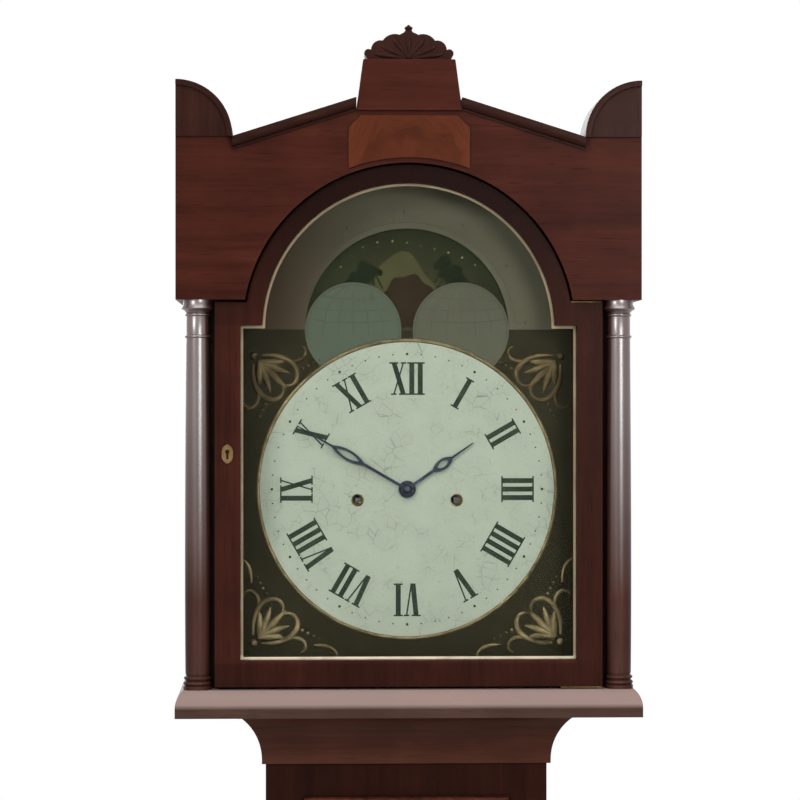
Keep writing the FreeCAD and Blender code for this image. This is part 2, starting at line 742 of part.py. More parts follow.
door_frame = front_prism(door_outline, door_y, door_back_y)
door_frame = door_frame.cut(front_prism(sight_inset(0), door_y - 1, door_back_y + 1))
door_frame = door_frame.cut(front_prism(sight_inset(-glass_rebate), rebate_y, door_back_y + 1))
stile_zone = block(sight_half, door_half + 1, door_y - 1, door_back_y + 1, door_z - 1, sight_top_z)
rail_zone = block(-sight_half, sight_half, door_y - 1, door_back_y + 1, door_z - 1, sight_top_z)
door_pieces = pair(door_frame.common(stile_zone)) + [door_frame.common(rail_zone)]
beyond = door_half + 1
outer_head = front_prism([(0, sight_top_z), (beyond, sight_top_z), (beyond, sight_top_z + beyond)],
                         door_y - 1, door_back_y + 1)
inner_head = front_prism([(0, sight_top_z), (beyond, sight_top_z + beyond), (0, sight_top_z + 2 * beyond)],
                         door_y - 1, door_back_y + 1)
door_pieces += pair(door_frame.common(outer_head)) + pair(door_frame.common(inner_head))
export("hood_door_frame", door_pieces)
glass_outline = sight_inset(slide_gap - glass_rebate)
export("hood_glass", front_prism(glass_outline, rebate_y, rebate_y + glass_thickness))
bead_y = rebate_y - bead
bead_ring = front_prism(sight_inset(running_gap), bead_y, rebate_y)
export("hood_door_bead", bead_ring.cut(front_prism(sight_inset(bead), bead_y - 1, rebate_y + 1)))

# Pin straps on the right-hand corners of the hood door
strap_in = strap_x - strap_length
strap_out = door_half - strap_setback
strap_front = door_y + strap_setback
strap_rear = door_y + hood_door_thickness / 2
foot_strap = block(strap_in, strap_out, strap_front, strap_rear, door_z - strap_thickness, door_z)
foot_strap = foot_strap.fuse(post(strap_pin_r, hood_base_z - strap_pin_length, door_z, strap_x, strap_y))
spring_x = math.sqrt(door_arch_r ** 2 - (shoulder_z - arch_z) ** 2)
head_strap = block(spring_x + slide_gap, strap_out, strap_front, strap_rear, shoulder_z,
                   shoulder_z + strap_thickness)
head_strap = head_strap.fuse(post(strap_pin_r, shoulder_z, frieze_z + strap_pin_length, strap_x, strap_y))
export("hood_door_straps", [foot_strap, head_strap])
hood_key_x = -(sight_half + door_half) / 2
export("hood_escutcheon", keyhole(hood_key_x, door_z + hood_key_rise, door_y, hood_key_half))

# Dial: a break-arch plate with the moon's window between two humps, and the moon disc's stud behind
moon_z = arch_z - moon_drop
moon_y = dial_back_y + moon_disc_gap
dial = front_prism(break_arch(dial_half, dial_low, dial_shoulder, arch_z, dial_arch_r), dial_y, dial_back_y)
window = front_prism([(moon_window_r, arch_z), ("arc", 0, arch_z + moon_window_r), (-moon_window_r, arch_z)],
                     dial_y - 1, dial_back_y + 1)
for side in (-1, 1):
    window = window.cut(rod(hump_r, dial_y - 2, dial_back_y + 2, side * hump_offset, arch_z))
    dial = dial.cut(rod(winding_hole_r, dial_y - 1, dial_back_y + 1, side * winding_offset, barrel_z))
dial = dial.cut(window).cut(rod(dial_hole_r, dial_y - 1, dial_back_y + 1, 0, dial_z))
stud_end = moon_y + moon_disc_thickness + slide_gap
moon_stud = rod(moon_pin_r, dial_back_y, stud_end, 0, moon_z)
dial = dial.fuse([moon_stud, rod(2 * moon_pin_r, stud_end, stud_end + moon_washer, 0, moon_z)])
export("dial_plate", dial)
moon = rod(moon_disc_r, moon_y, moon_y + moon_disc_thickness, 0, moon_z)
export("moon_disc", moon.cut(rod(moon_pin_r + running_gap, moon_y - 1, stud_end, 0, moon_z)))

# Arbor places, as (x, z) seen from the front
centre_at = (0.0, dial_z)
great_module = 2 * math.hypot(winding_offset, winding_drop) / (great_teeth + centre_pinion)
third_reach = centre_module * (centre_teeth + third_pinion) / 2
third_lean = math.radians(third_angle)
third_at = (third_reach * math.sin(third_lean), dial_z + third_reach * math.cos(third_lean))
escape_reach = third_module * (third_teeth + escape_pinion) / 2
escape_at = (0.0, third_at[1] + math.sqrt(escape_reach ** 2 - third_at[0] ** 2))
pallet_at = (0.0, escape_at[1] + escape_r * math.sqrt(2))
minute_reach = cannon_module * cannon_teeth
minute_turn = math.radians(minute_angle)
minute_at = (minute_reach * math.cos(minute_turn), dial_z + minute_reach * math.sin(minute_turn))
hour_module = 2 * minute_reach / (hour_teeth + minute_pinion)
going_at = (winding_offset, barrel_z)
strike_at = (-winding_offset, barrel_z)
hammer_at = (-hammer_offset, plate_top_z - hammer_drop)


def bearing(start, goal):
    return math.atan2(goal[1] - start[1], goal[0] - start[0])


def around(place, radius, turn):
    """Point on a circle seen from the front."""
    return (place[0] + radius * math.cos(turn), place[1] + radius * math.sin(turn))


def toothed(place, teeth, module, shape, aim, y0, y1):
    """Wheel or pinion; shape is its addendum and dedendum in modules and a tooth's corners in shares."""
    addendum, dedendum, corners = shape
    pitch = 2 * math.pi / teeth
    root = module * (teeth / 2 - dedendum)
    tip = module * (teeth / 2 + addendum)
    points = []
    for k in range(teeth):
        middle = aim + k * pitch
        for height, share in corners:
            radius = root + height * (tip - root)
            turn = middle + share * pitch
            points.append(around(place, radius, turn))
    return front_prism(points, y0, y1)


wheel_tooth = (1.0, 1.2, ((0, -0.29), (1, 0.0), (0, 0.29)))
pinion_leaf = (0.5, 1.3, ((0, -0.20), (1, -0.10), (1, 0.10), (0, 0.20)))


def wheel(place, teeth, module, goal, y):
    """Wheel with a tooth on the line to the arbor it drives."""
    return toothed(place, teeth, module, wheel_tooth, bearing(place, goal), y, y + wheel_thickness)


def pinion(place, leaves, module, goal, y):
    """Pinion with a gap on the line to the wheel that drives it."""
    aim = bearing(place, goal) + math.pi / leaves
    return toothed(place, leaves, module, pinion_leaf, aim, y, y + pinion_length)


def crossed(shape, place, inner, outer, y):
    """Four sector windows that leave the wheel's spokes."""
    spoke = math.radians(spoke_angle)
    for k in range(4):
        low = k * math.pi / 2 + spoke
        high = (k + 1) * math.pi / 2 - spoke
        middle = (low + high) / 2
        window = [around(place, inner, low), around(place, outer, low),
                  ("arc", *around(place, outer, middle)), around(place, outer, high),
                  around(place, inner, high), ("arc", *around(place, inner, middle))]
        shape = shape.cut(front_prism(window, y - 1, y + wheel_thickness + 1))
    return shape


def arbor(place, radius=arbor_r):
    """Arbor between the plates with a pivot in each."""
    body = rod(radius, plate_inner_y + slide_gap, plate_back_y - slide_gap, *place)
    return body.fuse(rod(pivot_r, plate_front_y, plate_rear_y, *place))


# Going train between the plates
great_y = plate_inner_y + great_depth
centre_y = plate_back_y - centre_depth
third_y = plate_inner_y + third_depth
escape_y = plate_back_y - escape_depth
mesh_lead = (pinion_length - wheel_thickness) / 2
great = wheel(going_at, great_teeth, great_module, centre_at, great_y)
great = great.fuse(rod(great_hub_r, great_y - great_hub, great_y, *going_at))
bore = barrel_arbor_r + running_gap
great = great.cut(rod(bore, great_y - great_hub - 1, great_y + wheel_thickness + 1, *going_at))
export("going_great_wheel", great.removeSplitter())

cannon_y = plate_front_y - cannon_depth
hour_wheel_y = cannon_y - hour_depth
hour_hand_y = dial_y - hand_gap - hand_thickness
minute_hand_y = hour_hand_y - hand_gap - hand_thickness
arbor_end = minute_hand_y - arbor_tail
centre = wheel(centre_at, centre_teeth, centre_module, third_at, centre_y)
centre = crossed(centre, centre_at, centre_hub_r, centre_rim_r, centre_y)
centre = centre.fuse([rod(arbor_r, plate_inner_y + slide_gap, plate_back_y - slide_gap, *centre_at),
                      rod(pivot_r, plate_back_y - 1, plate_rear_y, *centre_at),
                      rod(front_arbor_r, arbor_end, plate_inner_y + 1, *centre_at),
                      pinion(centre_at, centre_pinion, great_module, going_at, great_y - mesh_lead),
                      wheel(centre_at, cannon_teeth, cannon_module, minute_at, cannon_y),
                      rod(cannon_r, minute_hand_y + hand_thickness, cannon_y, *centre_at)])
export("centre_wheel", centre)

third = wheel(third_at, third_teeth, third_module, escape_at, third_y)
third = crossed(third, third_at, third_hub_r, third_rim_r, third_y)
third_leaves = pinion(third_at, third_pinion, centre_module, centre_at, centre_y - mesh_lead)
third = third.fuse([arbor(third_at), third_leaves])
export("third_wheel", third)

escape_pitch = 2 * math.pi / escape_teeth
escape_root = escape_r - escape_tooth
escape_points = []
for k in range(escape_teeth):
    for radius, share in ((escape_root, 0.0), (escape_r, 0.45), (escape_root, 0.6)):
        turn = (k + share) * escape_pitch
        escape_points.append(around(escape_at, radius, turn))
escape = front_prism(escape_points, escape_y, escape_y + wheel_thickness)
escape = crossed(escape, escape_at, escape_hub_r, escape_rim_r, escape_y)
escape_leaves = pinion(escape_at, escape_pinion, third_module, third_at, third_y - mesh_lead)
escape = escape.fuse([arbor(escape_at, escape_arbor_r), escape_leaves])
export("escape_wheel", escape)

# Pallets: an anchor astride the escape wheel, and the crutch that takes its motion to the pendulum
nib_r = escape_r + pallet_gap
pallet_y = escape_y + (wheel_thickness - pallet_thickness) / 2
crutch_y = plate_rear_y + crutch_depth
cock_y = crutch_y + cock_depth
pallet_z = pallet_at[1]
nib_in = nib_r * math.sqrt(0.5)
nib_out = (nib_r + pallet_nib) * math.sqrt(0.5)
arm = front_prism([(0, pallet_z), (nib_in, escape_at[1] + nib_in), (nib_out, escape_at[1] + nib_out),
                   (0, pallet_z + pallet_crown)], pallet_y, pallet_y + pallet_thickness)
fork_z = pallet_z - crutch_length
fork_half = rod_r + fork_wall
fork_slot = rod_r + fork_play
fork_rear = pendulum_y + fork_reach
fork = block(-fork_half, fork_half, crutch_y, fork_rear, fork_z, fork_z + fork_reach)
fork = fork.cut(block(-fork_slot, fork_slot, pendulum_y - fork_slot, fork_rear + 1, fork_z - 1,
                      fork_z + fork_reach + 1))
crutch = block(-crutch_half, crutch_half, crutch_y, crutch_y + crutch_thickness, fork_z, pallet_z)
pallets = arm.fuse([mirrored(arm), rod(pallet_crown, pallet_y, pallet_y + pallet_thickness, *pallet_at),
                    rod(arbor_r, plate_inner_y + slide_gap, cock_y - slide_gap, *pallet_at),
                    rod(pivot_r, plate_front_y, cock_y + cock_thickness, *pallet_at), crutch, fork])
export("pallets", pallets.removeSplitter())

# Motion work in front of the plates
minute_front = hour_wheel_y - mesh_lead
minute_aim = bearing(minute_at, centre_at) + math.pi / cannon_teeth
minute_back = cannon_y + wheel_thickness
minute_wheel = toothed(minute_at, cannon_teeth, cannon_module, wheel_tooth, minute_aim, cannon_y, minute_back)
minute_arbor = rod(arbor_r, minute_front + pinion_length - 1, plate_front_y - slide_gap, *minute_at)
minute_pivot = rod(minute_pivot_r, minute_front - minute_tail, plate_inner_y, *minute_at)
minute_leaves = pinion(minute_at, minute_pinion, hour_module, centre_at, minute_front)
minute_wheel = minute_wheel.fuse([minute_leaves, minute_arbor, minute_pivot])
export("minute_wheel", minute_wheel)
hour_wheel = wheel(centre_at, hour_teeth, hour_module, minute_at, hour_wheel_y)
hour_wheel = hour_wheel.fuse(rod(hour_pipe_r, hour_hand_y, hour_wheel_y, *centre_at))
hour_back = hour_wheel_y + wheel_thickness
hour_bore = rod(cannon_r + running_gap, hour_hand_y - 1, hour_back + 1, *centre_at)
export("hour_wheel", hour_wheel.cut(hour_bore))


def hand(length, y, hub_r, hole_r, hours):
    """Pierced leaf hand, pointing to a clock hour."""
    leaf_low = dial_z + hand_leaf_low * length
    leaf_high = dial_z + hand_leaf_high * length
    leaf_middle = (leaf_low + leaf_high) / 2
    tip_z = dial_z + length
    blade = front_prism([(-hand_shank, dial_z), (hand_shank, dial_z), (hand_shank, leaf_low),
                         ("arc", hand_leaf_half, leaf_middle), (hand_neck, leaf_high), (hand_tip, tip_z),
                         (-hand_tip, tip_z), (-hand_neck, leaf_high), ("arc", -hand_leaf_half, leaf_middle),
                         (-hand_shank, leaf_low)], y, y + hand_thickness)
    eye_half = hand_leaf_half - hand_leaf_wall
    eye = front_prism([(0, leaf_low + hand_eye_margin), ("arc", eye_half, leaf_middle),
                       (0, leaf_high - hand_eye_margin), ("arc", -eye_half, leaf_middle)],
                      y - 1, y + hand_thickness + 1)
    blade = blade.cut(eye).fuse(rod(hub_r, y, y + hand_thickness, *centre_at))
    blade = blade.cut(rod(hole_r, y - 1, y + hand_thickness + 1, *centre_at)).removeSplitter()
    blade.rotate(at(0, 0, dial_z), at(0, 1, 0), 360.0 * hours / 12)
    return blade


hour_turn = shown_hour + shown_minute / 60
hour_hand = hand(hour_hand_length, hour_hand_y, hour_pipe_r + hour_hub, hour_pipe_r + hand_fit, hour_turn)
export("hour_hand", hour_hand)
minute_bore = front_arbor_r + hand_fit
collet = turned_y([(minute_bore, minute_hand_y), (collet_r, minute_hand_y),
                   (collet_r - collet_taper, minute_hand_y - collet_step),
                   (minute_bore, minute_hand_y - collet_height)], *centre_at)
minute_hand = hand(minute_hand_length, minute_hand_y, minute_hub_r, minute_bore, shown_minute / 5)
export("minute_hand", [minute_hand, collet])

# Movement plates with their pivot holes; the front one carries the cock of the minute wheel
plate_half = plate_width / 2
front_plate = block(-plate_half, plate_half, plate_front_y, plate_inner_y, seat_z, plate_top_z)
back_plate = block(-plate_half, plate_half, plate_back_y, plate_rear_y, seat_z, plate_top_z)
minute_cock_y = minute_front - minute_cock_gap
cock_front = minute_cock_y - minute_cock_plate


def from_minute(along, aside):
    """Place off the minute arbor, along the line from the centre and to one side of it."""
    return (minute_at[0] + along * math.cos(minute_turn) + aside * math.sin(minute_turn),
            minute_at[1] + along * math.sin(minute_turn) - aside * math.cos(minute_turn))


cock_post = from_minute(cock_post_reach, 0)
cock_end = cock_post_reach + minute_cock_lap
minute_cock = front_prism([from_minute(-minute_cock_lap, minute_cock_half),
                           from_minute(-minute_cock_lap, -minute_cock_half),
                           from_minute(cock_end, -minute_cock_half), from_minute(cock_end, minute_cock_half)],
                          cock_front, minute_cock_y)
front_plate = front_plate.fuse([rod(cock_post_r, cock_front, plate_front_y, *cock_post), minute_cock])
front_holes = [(pivot_r, third_at), (pivot_r, escape_at), (pivot_r, pallet_at), (pivot_r, hammer_at),
               (front_arbor_r, centre_at), (minute_pivot_r, minute_at), (barrel_arbor_r, going_at),
               (barrel_arbor_r, strike_at)]
for radius, place in front_holes:
    front_plate = front_plate.cut(rod(radius + running_gap, cock_front - 1, plate_inner_y + 1, *place))
back_holes = [(pivot_r, third_at), (pivot_r, escape_at), (pivot_r, centre_at), (pivot_r, hammer_at),
              (barrel_pivot_r, going_at), (barrel_pivot_r, strike_at), (2 * arbor_r, pallet_at)]
for radius, place in back_holes:
    back_plate = back_plate.cut(rod(radius + running_gap, plate_back_y - 1, plate_rear_y + 1, *place))
export("movement_plates", [front_plate, back_plate])

# Turned pillars between the plates, and the dial's feet in front of them
pillar_x = plate_half - pillar_inset
pillar_low_z = seat_z + pillar_margin
pillar_high_z = plate_top_z - pillar_margin
dial_foot_z = plate_top_z - dial_foot_drop
pillar_middle = (plate_inner_y + plate_back_y) / 2
posts = []
for level in (pillar_low_z, pillar_high_z):
    pillar = rod(pillar_r - pillar_waist, plate_inner_y, plate_back_y, pillar_x, level)
    knop = rod(pillar_r, pillar_middle - pillar_r / 2, pillar_middle + pillar_r / 2, pillar_x, level)
    posts += pair(pillar.fuse(knop))
for level in (pillar_low_z, dial_foot_z):
    posts += pair(rod(dial_foot_r, dial_back_y, plate_front_y, pillar_x, level))
export("movement_pillars", posts)

# Back cock: carries the pallets' rear pivot and the pendulum's suspension
cock_rear = cock_y + cock_thickness
cock_low = pallet_z - cock_rise
cock_high = pallet_z + cock_rise
ledge_z = pallet_z - ledge_drop
ledge_low = ledge_z - ledge_reach
ledge_rear = pendulum_y + ledge_reach
cock = block(-cock_half, cock_half, cock_y, cock_rear, cock_low, cock_high)
cock_leg = block(cock_half - cock_arm, cock_half, plate_rear_y, cock_y, cock_low, cock_high)
ledge = block(-ledge_half, ledge_half, cock_rear, ledge_rear, ledge_low, ledge_z)
slot = block(-strip_slot, strip_slot, pendulum_y - strip_room, ledge_rear + 1, ledge_low - 1, ledge_z + 1)
cock = cock.fuse([cock_leg, mirrored(cock_leg), ledge]).cut(slot)
cock = cock.cut(rod(pivot_r + running_gap, cock_y - 1, cock_rear + 1, *pallet_at)).removeSplitter()
export("back_cock", cock)

# Pendulum: cross pin and spring strip, rod and rating nut, and a lens-shaped bob
spring_z = pallet_z - spring_length
bob_z = pallet_z - pendulum_length
bob_low = bob_z - bob_r
pin_start = at(-cross_pin_half, pendulum_y, pallet_z)
cross_pin = Part.makeCylinder(cross_pin_r, 2 * cross_pin_half, pin_start, at(1, 0, 0))
strip = block(-strip_half, strip_half, pendulum_y - strip_reach, pendulum_y + strip_reach, spring_z, pallet_z)
ferrule_z = spring_z + ferrule_lap
ferrule = post(rod_r + ferrule_wall, ferrule_z - ferrule_length, ferrule_z, 0, pendulum_y)
pendulum_rod = post(rod_r, bob_low - nut_height - rod_tail, spring_z, 0, pendulum_y)
pendulum_rod = pendulum_rod.fuse([cross_pin, strip, ferrule]).removeSplitter()
nut = post(nut_r, bob_low - nut_height, bob_low, 0, pendulum_y)
nut = nut.cut(post(rod_r + running_gap, bob_low - nut_height - 1, bob_low + 1, 0, pendulum_y))
export("pendulum_rod", [pendulum_rod, nut])
half_bob = bob_thickness / 2
bob_profile = [(0.0, half_bob), (bob_bend_r, bob_bend), (bob_r, bob_rim)]
bob_front = [(r, pendulum_y - y) for r, y in bob_profile]
bob_back = [(r, pendulum_y + y) for r, y in bob_profile[::-1]]
bob = turned_y(bob_front + bob_back, 0, bob_z)
export("pendulum_bob", bob.cut(post(rod_r + running_gap, bob_low - 1, bob_z + bob_r + 1, 0, pendulum_y)))

# Bell over the movement on a stand from the back plate
bell_y = plate_inner_y + bell_depth
bell_z = plate_top_z + bell_rise
rise = math.sqrt(bell_r ** 2 - bell_flat ** 2)
inner_r = bell_r - bell_wall
inner_rise = math.sqrt(inner_r ** 2 - bell_flat ** 2)
bell_turns = [0.0, math.radians(bell_shoulder)]
outer_side = [(bell_r * math.cos(turn), bell_z + bell_r * math.sin(turn)) for turn in bell_turns]
inner_side = [(inner_r * math.cos(turn), bell_z + inner_r * math.sin(turn)) for turn in bell_turns]
bell = turned(outer_side + [(bell_flat, bell_z + rise), (0, bell_z + rise), (0, bell_z + inner_rise),
                            (bell_flat, bell_z + inner_rise)] + inner_side[::-1], 0, bell_y)
export("bell", bell)
crown_z = bell_z + rise
half_bar = stand_bar / 2
stand_y = plate_rear_y + stand_thickness
stand_top = crown_z + stand_bar
stand = block(stand_x - stand_bar, stand_x, plate_rear_y, stand_y, plate_top_z - stand_foot, stand_top)
stand = stand.fuse([block(-half_bar, stand_x, plate_rear_y, stand_y, crown_z, stand_top),
                    block(-half_bar, half_bar, bell_y - half_bar, stand_y, crown_z, stand_top)])
export("bell_stand", stand.removeSplitter())

# Hammer: an arbor between the plates with a stem and a head beside the bell's rim
head_z = bell_z + hammer_rise
head_x = -bell_r - hammer_gap - hammer_length
head = Part.makeCylinder(hammer_r, hammer_length, at(head_x, bell_y, head_z), at(1, 0, 0))
stem_x = head_x + hammer_length / 2
stem = front_prism([(hammer_at[0] + hammer_stem_half, hammer_at[1]), (stem_x + hammer_stem_half, head_z),
                    (stem_x - hammer_stem_half, head_z), (hammer_at[0] - hammer_stem_half, hammer_at[1])],
                   bell_y - hammer_stem_half, bell_y + hammer_stem_half)
hub = rod(hammer_hub_r, bell_y - hammer_hub_half, bell_y + hammer_hub_half, *hammer_at)
export("hammer", arbor(hammer_at).fuse([hub, stem, head]).removeSplitter())

# Barrels: a drum between flanges on an arbor squared for the winding key
barrel_y = plate_inner_y + barrel_depth
barrel_end = barrel_y + barrel_length
square_y = dial_back_y + square_setback
square_end = plate_front_y - square_foot


def barrel(place):
    drum = rod(barrel_r, barrel_y, barrel_end, *place)
    square = block(place[0] - square_half, place[0] + square_half, square_y, square_end,
                   place[1] - square_half, place[1] + square_half)
    flange_r = barrel_r + barrel_flange_rise
    return drum.fuse([rod(flange_r, barrel_y, barrel_y + barrel_flange, *place),
                      rod(flange_r, barrel_end - barrel_flange, barrel_end, *place), square,
                      rod(barrel_arbor_r, square_end, plate_back_y - slide_gap, *place),
                      rod(barrel_pivot_r, plate_back_y - 1, plate_rear_y, *place)])


export("going_barrel", barrel(going_at).removeSplitter())
strike_wheel = wheel(strike_at, great_teeth, great_module, centre_at, barrel_y - wheel_thickness)
export("strike_barrel", barrel(strike_at).fuse(strike_wheel).removeSplitter())

# Weights in their stirrups, the pulleys, and the gut lines from barrel to pulley to seatboard
weight_top = weight_lift + weight_height
pulley_z = weight_top + weight_hook
half_pulley = pulley_width / 2
cheek_in = half_pulley + slide_gap
cheek_out = cheek_in + cheek_thickness
rim_r = pulley_r + pulley_flange
yoke_z = pulley_z - rim_r - yoke_drop
weight_neck = weight_r - weight_shoulder
weight = turned([(0, weight_lift), (weight_neck, weight_lift), (weight_r, weight_lift + weight_shoulder),
                 (weight_r, weight_top - weight_shoulder), (weight_neck, weight_top), (0, weight_top)],
                pulley_x, line_y)
cheek = block(pulley_x - cheek_half, pulley_x + cheek_half, line_y + cheek_in, line_y + cheek_out, yoke_z,
              pulley_z + cheek_head)
far_cheek = cheek.translated(at(0, -cheek_in - cheek_out, 0))
yoke = block(pulley_x - cheek_half, pulley_x + cheek_half, line_y - cheek_out, line_y + cheek_out, yoke_z,
             yoke_z + yoke_thickness)
hook = post(hook_r, weight_top, yoke_z + yoke_thickness / 2, pulley_x, line_y)
axle = rod(pulley_axle_r, line_y - cheek_out, line_y + cheek_out, pulley_x, pulley_z)
stirrup = cheek.fuse([far_cheek, yoke, hook, axle]).removeSplitter()
pulley_bore = pulley_axle_r + running_gap
groove_r = pulley_r - line_r - slide_gap
groove_half = line_r + slide_gap
sheave = turned_y([(pulley_bore, line_y - half_pulley), (rim_r, line_y - half_pulley),
                   (rim_r, line_y - groove_half), (groove_r, line_y - groove_half),
                   (groove_r, line_y + groove_half), (rim_r, line_y + groove_half),
                   (rim_r, line_y + half_pulley), (pulley_bore, line_y + half_pulley)], pulley_x, pulley_z)
barrel_in_x = winding_offset - line_wrap_r
route = [Part.Arc(at(barrel_in_x, line_y, barrel_z), at(winding_offset, line_y, barrel_z + line_wrap_r),
                  at(line_out_x, line_y, barrel_z)).toShape(),
         Part.makeLine(at(line_out_x, line_y, barrel_z), at(line_out_x, line_y, pulley_z)),
         Part.Arc(at(line_out_x, line_y, pulley_z), at(pulley_x, line_y, pulley_z - pulley_r),
                  at(line_in_x, line_y, pulley_z)).toShape(),
         Part.makeLine(at(line_in_x, line_y, pulley_z), at(line_in_x, line_y, seat_z + knot_r))]
line_wire = Part.Wire(route)
side_turns = [2 * math.pi * k / line_sides for k in range(line_sides)]
rim = [at(barrel_in_x + line_r * math.cos(turn), line_y + line_r * math.sin(turn), barrel_z)
       for turn in side_turns]
section = Part.makePolygon(rim + rim[:1])
line = line_wire.makePipeShell([section], True, False)
knot_z = seat_z + 2 * knot_r
knot = turned([(0, seat_z), (knot_end_r, seat_z), (knot_r, seat_z + knot_r), (knot_end_r, knot_z),
               (0, knot_z)], line_in_x, line_y)
line = line.fuse(knot)
for name, solids in (("weight", [weight, stirrup]), ("pulley", [sheave]), ("line", [line])):
    export("going_" + name, solids)
    export("strike_" + name, [mirrored(solid) for solid in solids])
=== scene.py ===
import bmesh
import bpy
from math import cos, hypot, pi, radians, sin, sqrt, tau
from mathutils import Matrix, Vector


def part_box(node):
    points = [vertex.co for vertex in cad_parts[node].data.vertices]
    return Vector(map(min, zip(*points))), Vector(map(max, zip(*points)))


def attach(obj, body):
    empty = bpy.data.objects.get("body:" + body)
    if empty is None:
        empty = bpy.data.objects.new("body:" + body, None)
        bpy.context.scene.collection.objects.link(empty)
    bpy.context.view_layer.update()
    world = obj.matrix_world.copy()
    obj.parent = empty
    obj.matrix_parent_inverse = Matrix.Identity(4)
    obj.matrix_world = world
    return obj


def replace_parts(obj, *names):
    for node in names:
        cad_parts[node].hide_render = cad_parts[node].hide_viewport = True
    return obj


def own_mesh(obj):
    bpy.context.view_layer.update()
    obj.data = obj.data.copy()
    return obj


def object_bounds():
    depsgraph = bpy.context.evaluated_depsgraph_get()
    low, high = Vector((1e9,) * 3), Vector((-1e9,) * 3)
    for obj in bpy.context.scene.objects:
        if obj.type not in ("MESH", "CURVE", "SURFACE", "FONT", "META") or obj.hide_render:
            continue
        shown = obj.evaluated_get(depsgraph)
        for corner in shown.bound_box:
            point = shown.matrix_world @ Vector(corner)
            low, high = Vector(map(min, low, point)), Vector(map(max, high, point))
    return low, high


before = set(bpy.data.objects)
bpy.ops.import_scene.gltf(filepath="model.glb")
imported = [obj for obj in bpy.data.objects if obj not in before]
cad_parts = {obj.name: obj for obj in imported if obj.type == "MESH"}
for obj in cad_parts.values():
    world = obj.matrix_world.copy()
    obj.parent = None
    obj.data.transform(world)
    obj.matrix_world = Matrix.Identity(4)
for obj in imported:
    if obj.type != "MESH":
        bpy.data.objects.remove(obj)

cad_low, cad_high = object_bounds()

# Room: a pale floor and studio light round the clock, on a background that is white to the eye and in
# reflections. Two square lamps in front, the key on the left and a window on the right, draw the highlights
# down the turned columns; a wide lamp over the hood, one low down and one behind light the rest.


def feed(node, values):
    """Gives inputs of a node, by name or number, a constant each or a link from a socket."""
    for key, value in values.items():
        socket = node.inputs[key]
        if isinstance(value, bpy.types.NodeSocket):
            node.id_data.links.new(value, socket)
        else:
            socket.default_value = (*value, 1.0) if socket.type == "RGBA" else value


def place(tree, kind, values=None, **settings):
    """Adds a node, a shader's by its short name, sets its options and feeds its inputs."""
    node = tree.nodes.new(kind if "Node" in kind else "ShaderNode" + kind)
    for option, value in settings.items():
        setattr(node, option, value)
    feed(node, values or {})
    return node


def maths(operation, value, *terms):
    """Maths on a socket and on one or more others or numbers in turn."""
    for term in terms:
        value = place(value.id_data, "Math", {0: value, 1: term}, operation=operation).outputs[0]
    return value


def remap(value, low, high, to_low=0.0, to_high=1.0):
    """Clamped linear change of range."""
    values = {"Value": value, "From Min": low, "From Max": high, "To Min": to_low, "To Max": to_high}
    return place(value.id_data, "MapRange", values).outputs["Result"]


def new_material(name):
    """Material with only a Principled shader."""
    material = bpy.data.materials.new(name)
    material.use_nodes = True
    tree = material.node_tree
    tree.nodes.clear()
    shader = place(tree, "BsdfPrincipled")
    place(tree, "OutputMaterial", {"Surface": shader.outputs["BSDF"]})
    return material, tree, shader


def add(name, data):
    """Puts an object with this data into the scene."""
    thing = bpy.data.objects.new(name, data)
    bpy.context.scene.collection.objects.link(thing)
    return thing


def mix_shaders(share, shader, other, output):
    """Puts a mix of two shaders on an output."""
    values = {"Fac": share, 1: shader.outputs[0], 2: other.outputs[0]}
    feed(output, {"Surface": place(share.id_data, "MixShader", values).outputs[0]})


def whiten(tree, shader, white, share, output):
    """Mixes white into a surface for rays from the eye, from reflections and through glass."""
    ray = place(tree, "LightPath").outputs
    seen = maths("MAXIMUM", ray["Is Camera Ray"], ray["Is Glossy Ray"], ray["Is Transmission Ray"])
    mix_shaders(maths("MULTIPLY", seen, share), shader, white, output)


def lamp(name, spot, target, width, height, power):
    """Rectangular soft lamp aimed at a point."""
    data = bpy.data.lights.new(name, "AREA")
    data.shape = "RECTANGLE"
    data.size = width
    data.size_y = height
    data.energy = power
    light = add(name, data)
    light.location = spot
    light.rotation_euler = (Vector(target) - Vector(spot)).to_track_quat("-Z", "Y").to_euler()


floor_half = 9.0
floor_mesh = bpy.data.meshes.new("floor")
floor_mesh.from_pydata([(x * floor_half, y * floor_half, 0) for x, y in ((-1, -1), (1, -1), (1, 1), (-1, 1))],
                       [], [(0, 1, 2, 3)])
floor = add("floor", floor_mesh)
floor_material, floor_tree, floor_shader = new_material("studio_floor")
speckle = place(floor_tree, "TexNoise", {"Scale": 3.0}).outputs["Fac"]
feed(floor_shader, {"Base Color": remap(speckle, 0.0, 1.0, 0.78, 0.82), "Roughness": 0.9,
                    "Specular IOR Level": 0.1})
floor_white_share = 0.8
whiten(floor_tree, floor_shader, place(floor_tree, "Emission"), floor_white_share,
       floor_shader.outputs[0].links[0].to_node)
floor_mesh.materials.append(floor_material)

ambient_level = 0.14
world = bpy.data.worlds.new("studio")
bpy.context.scene.world = world
world.use_nodes = True
sky = world.node_tree
sky.nodes.clear()
room_light = place(sky, "Background", {"Color": (1.0, 0.99, 0.97), "Strength": ambient_level})
white_back = place(sky, "Background", {"Color": (1.0, 1.0, 1.0), "Strength": 1.0})
whiten(sky, room_light, white_back, 1.0, place(sky, "OutputWorld"))

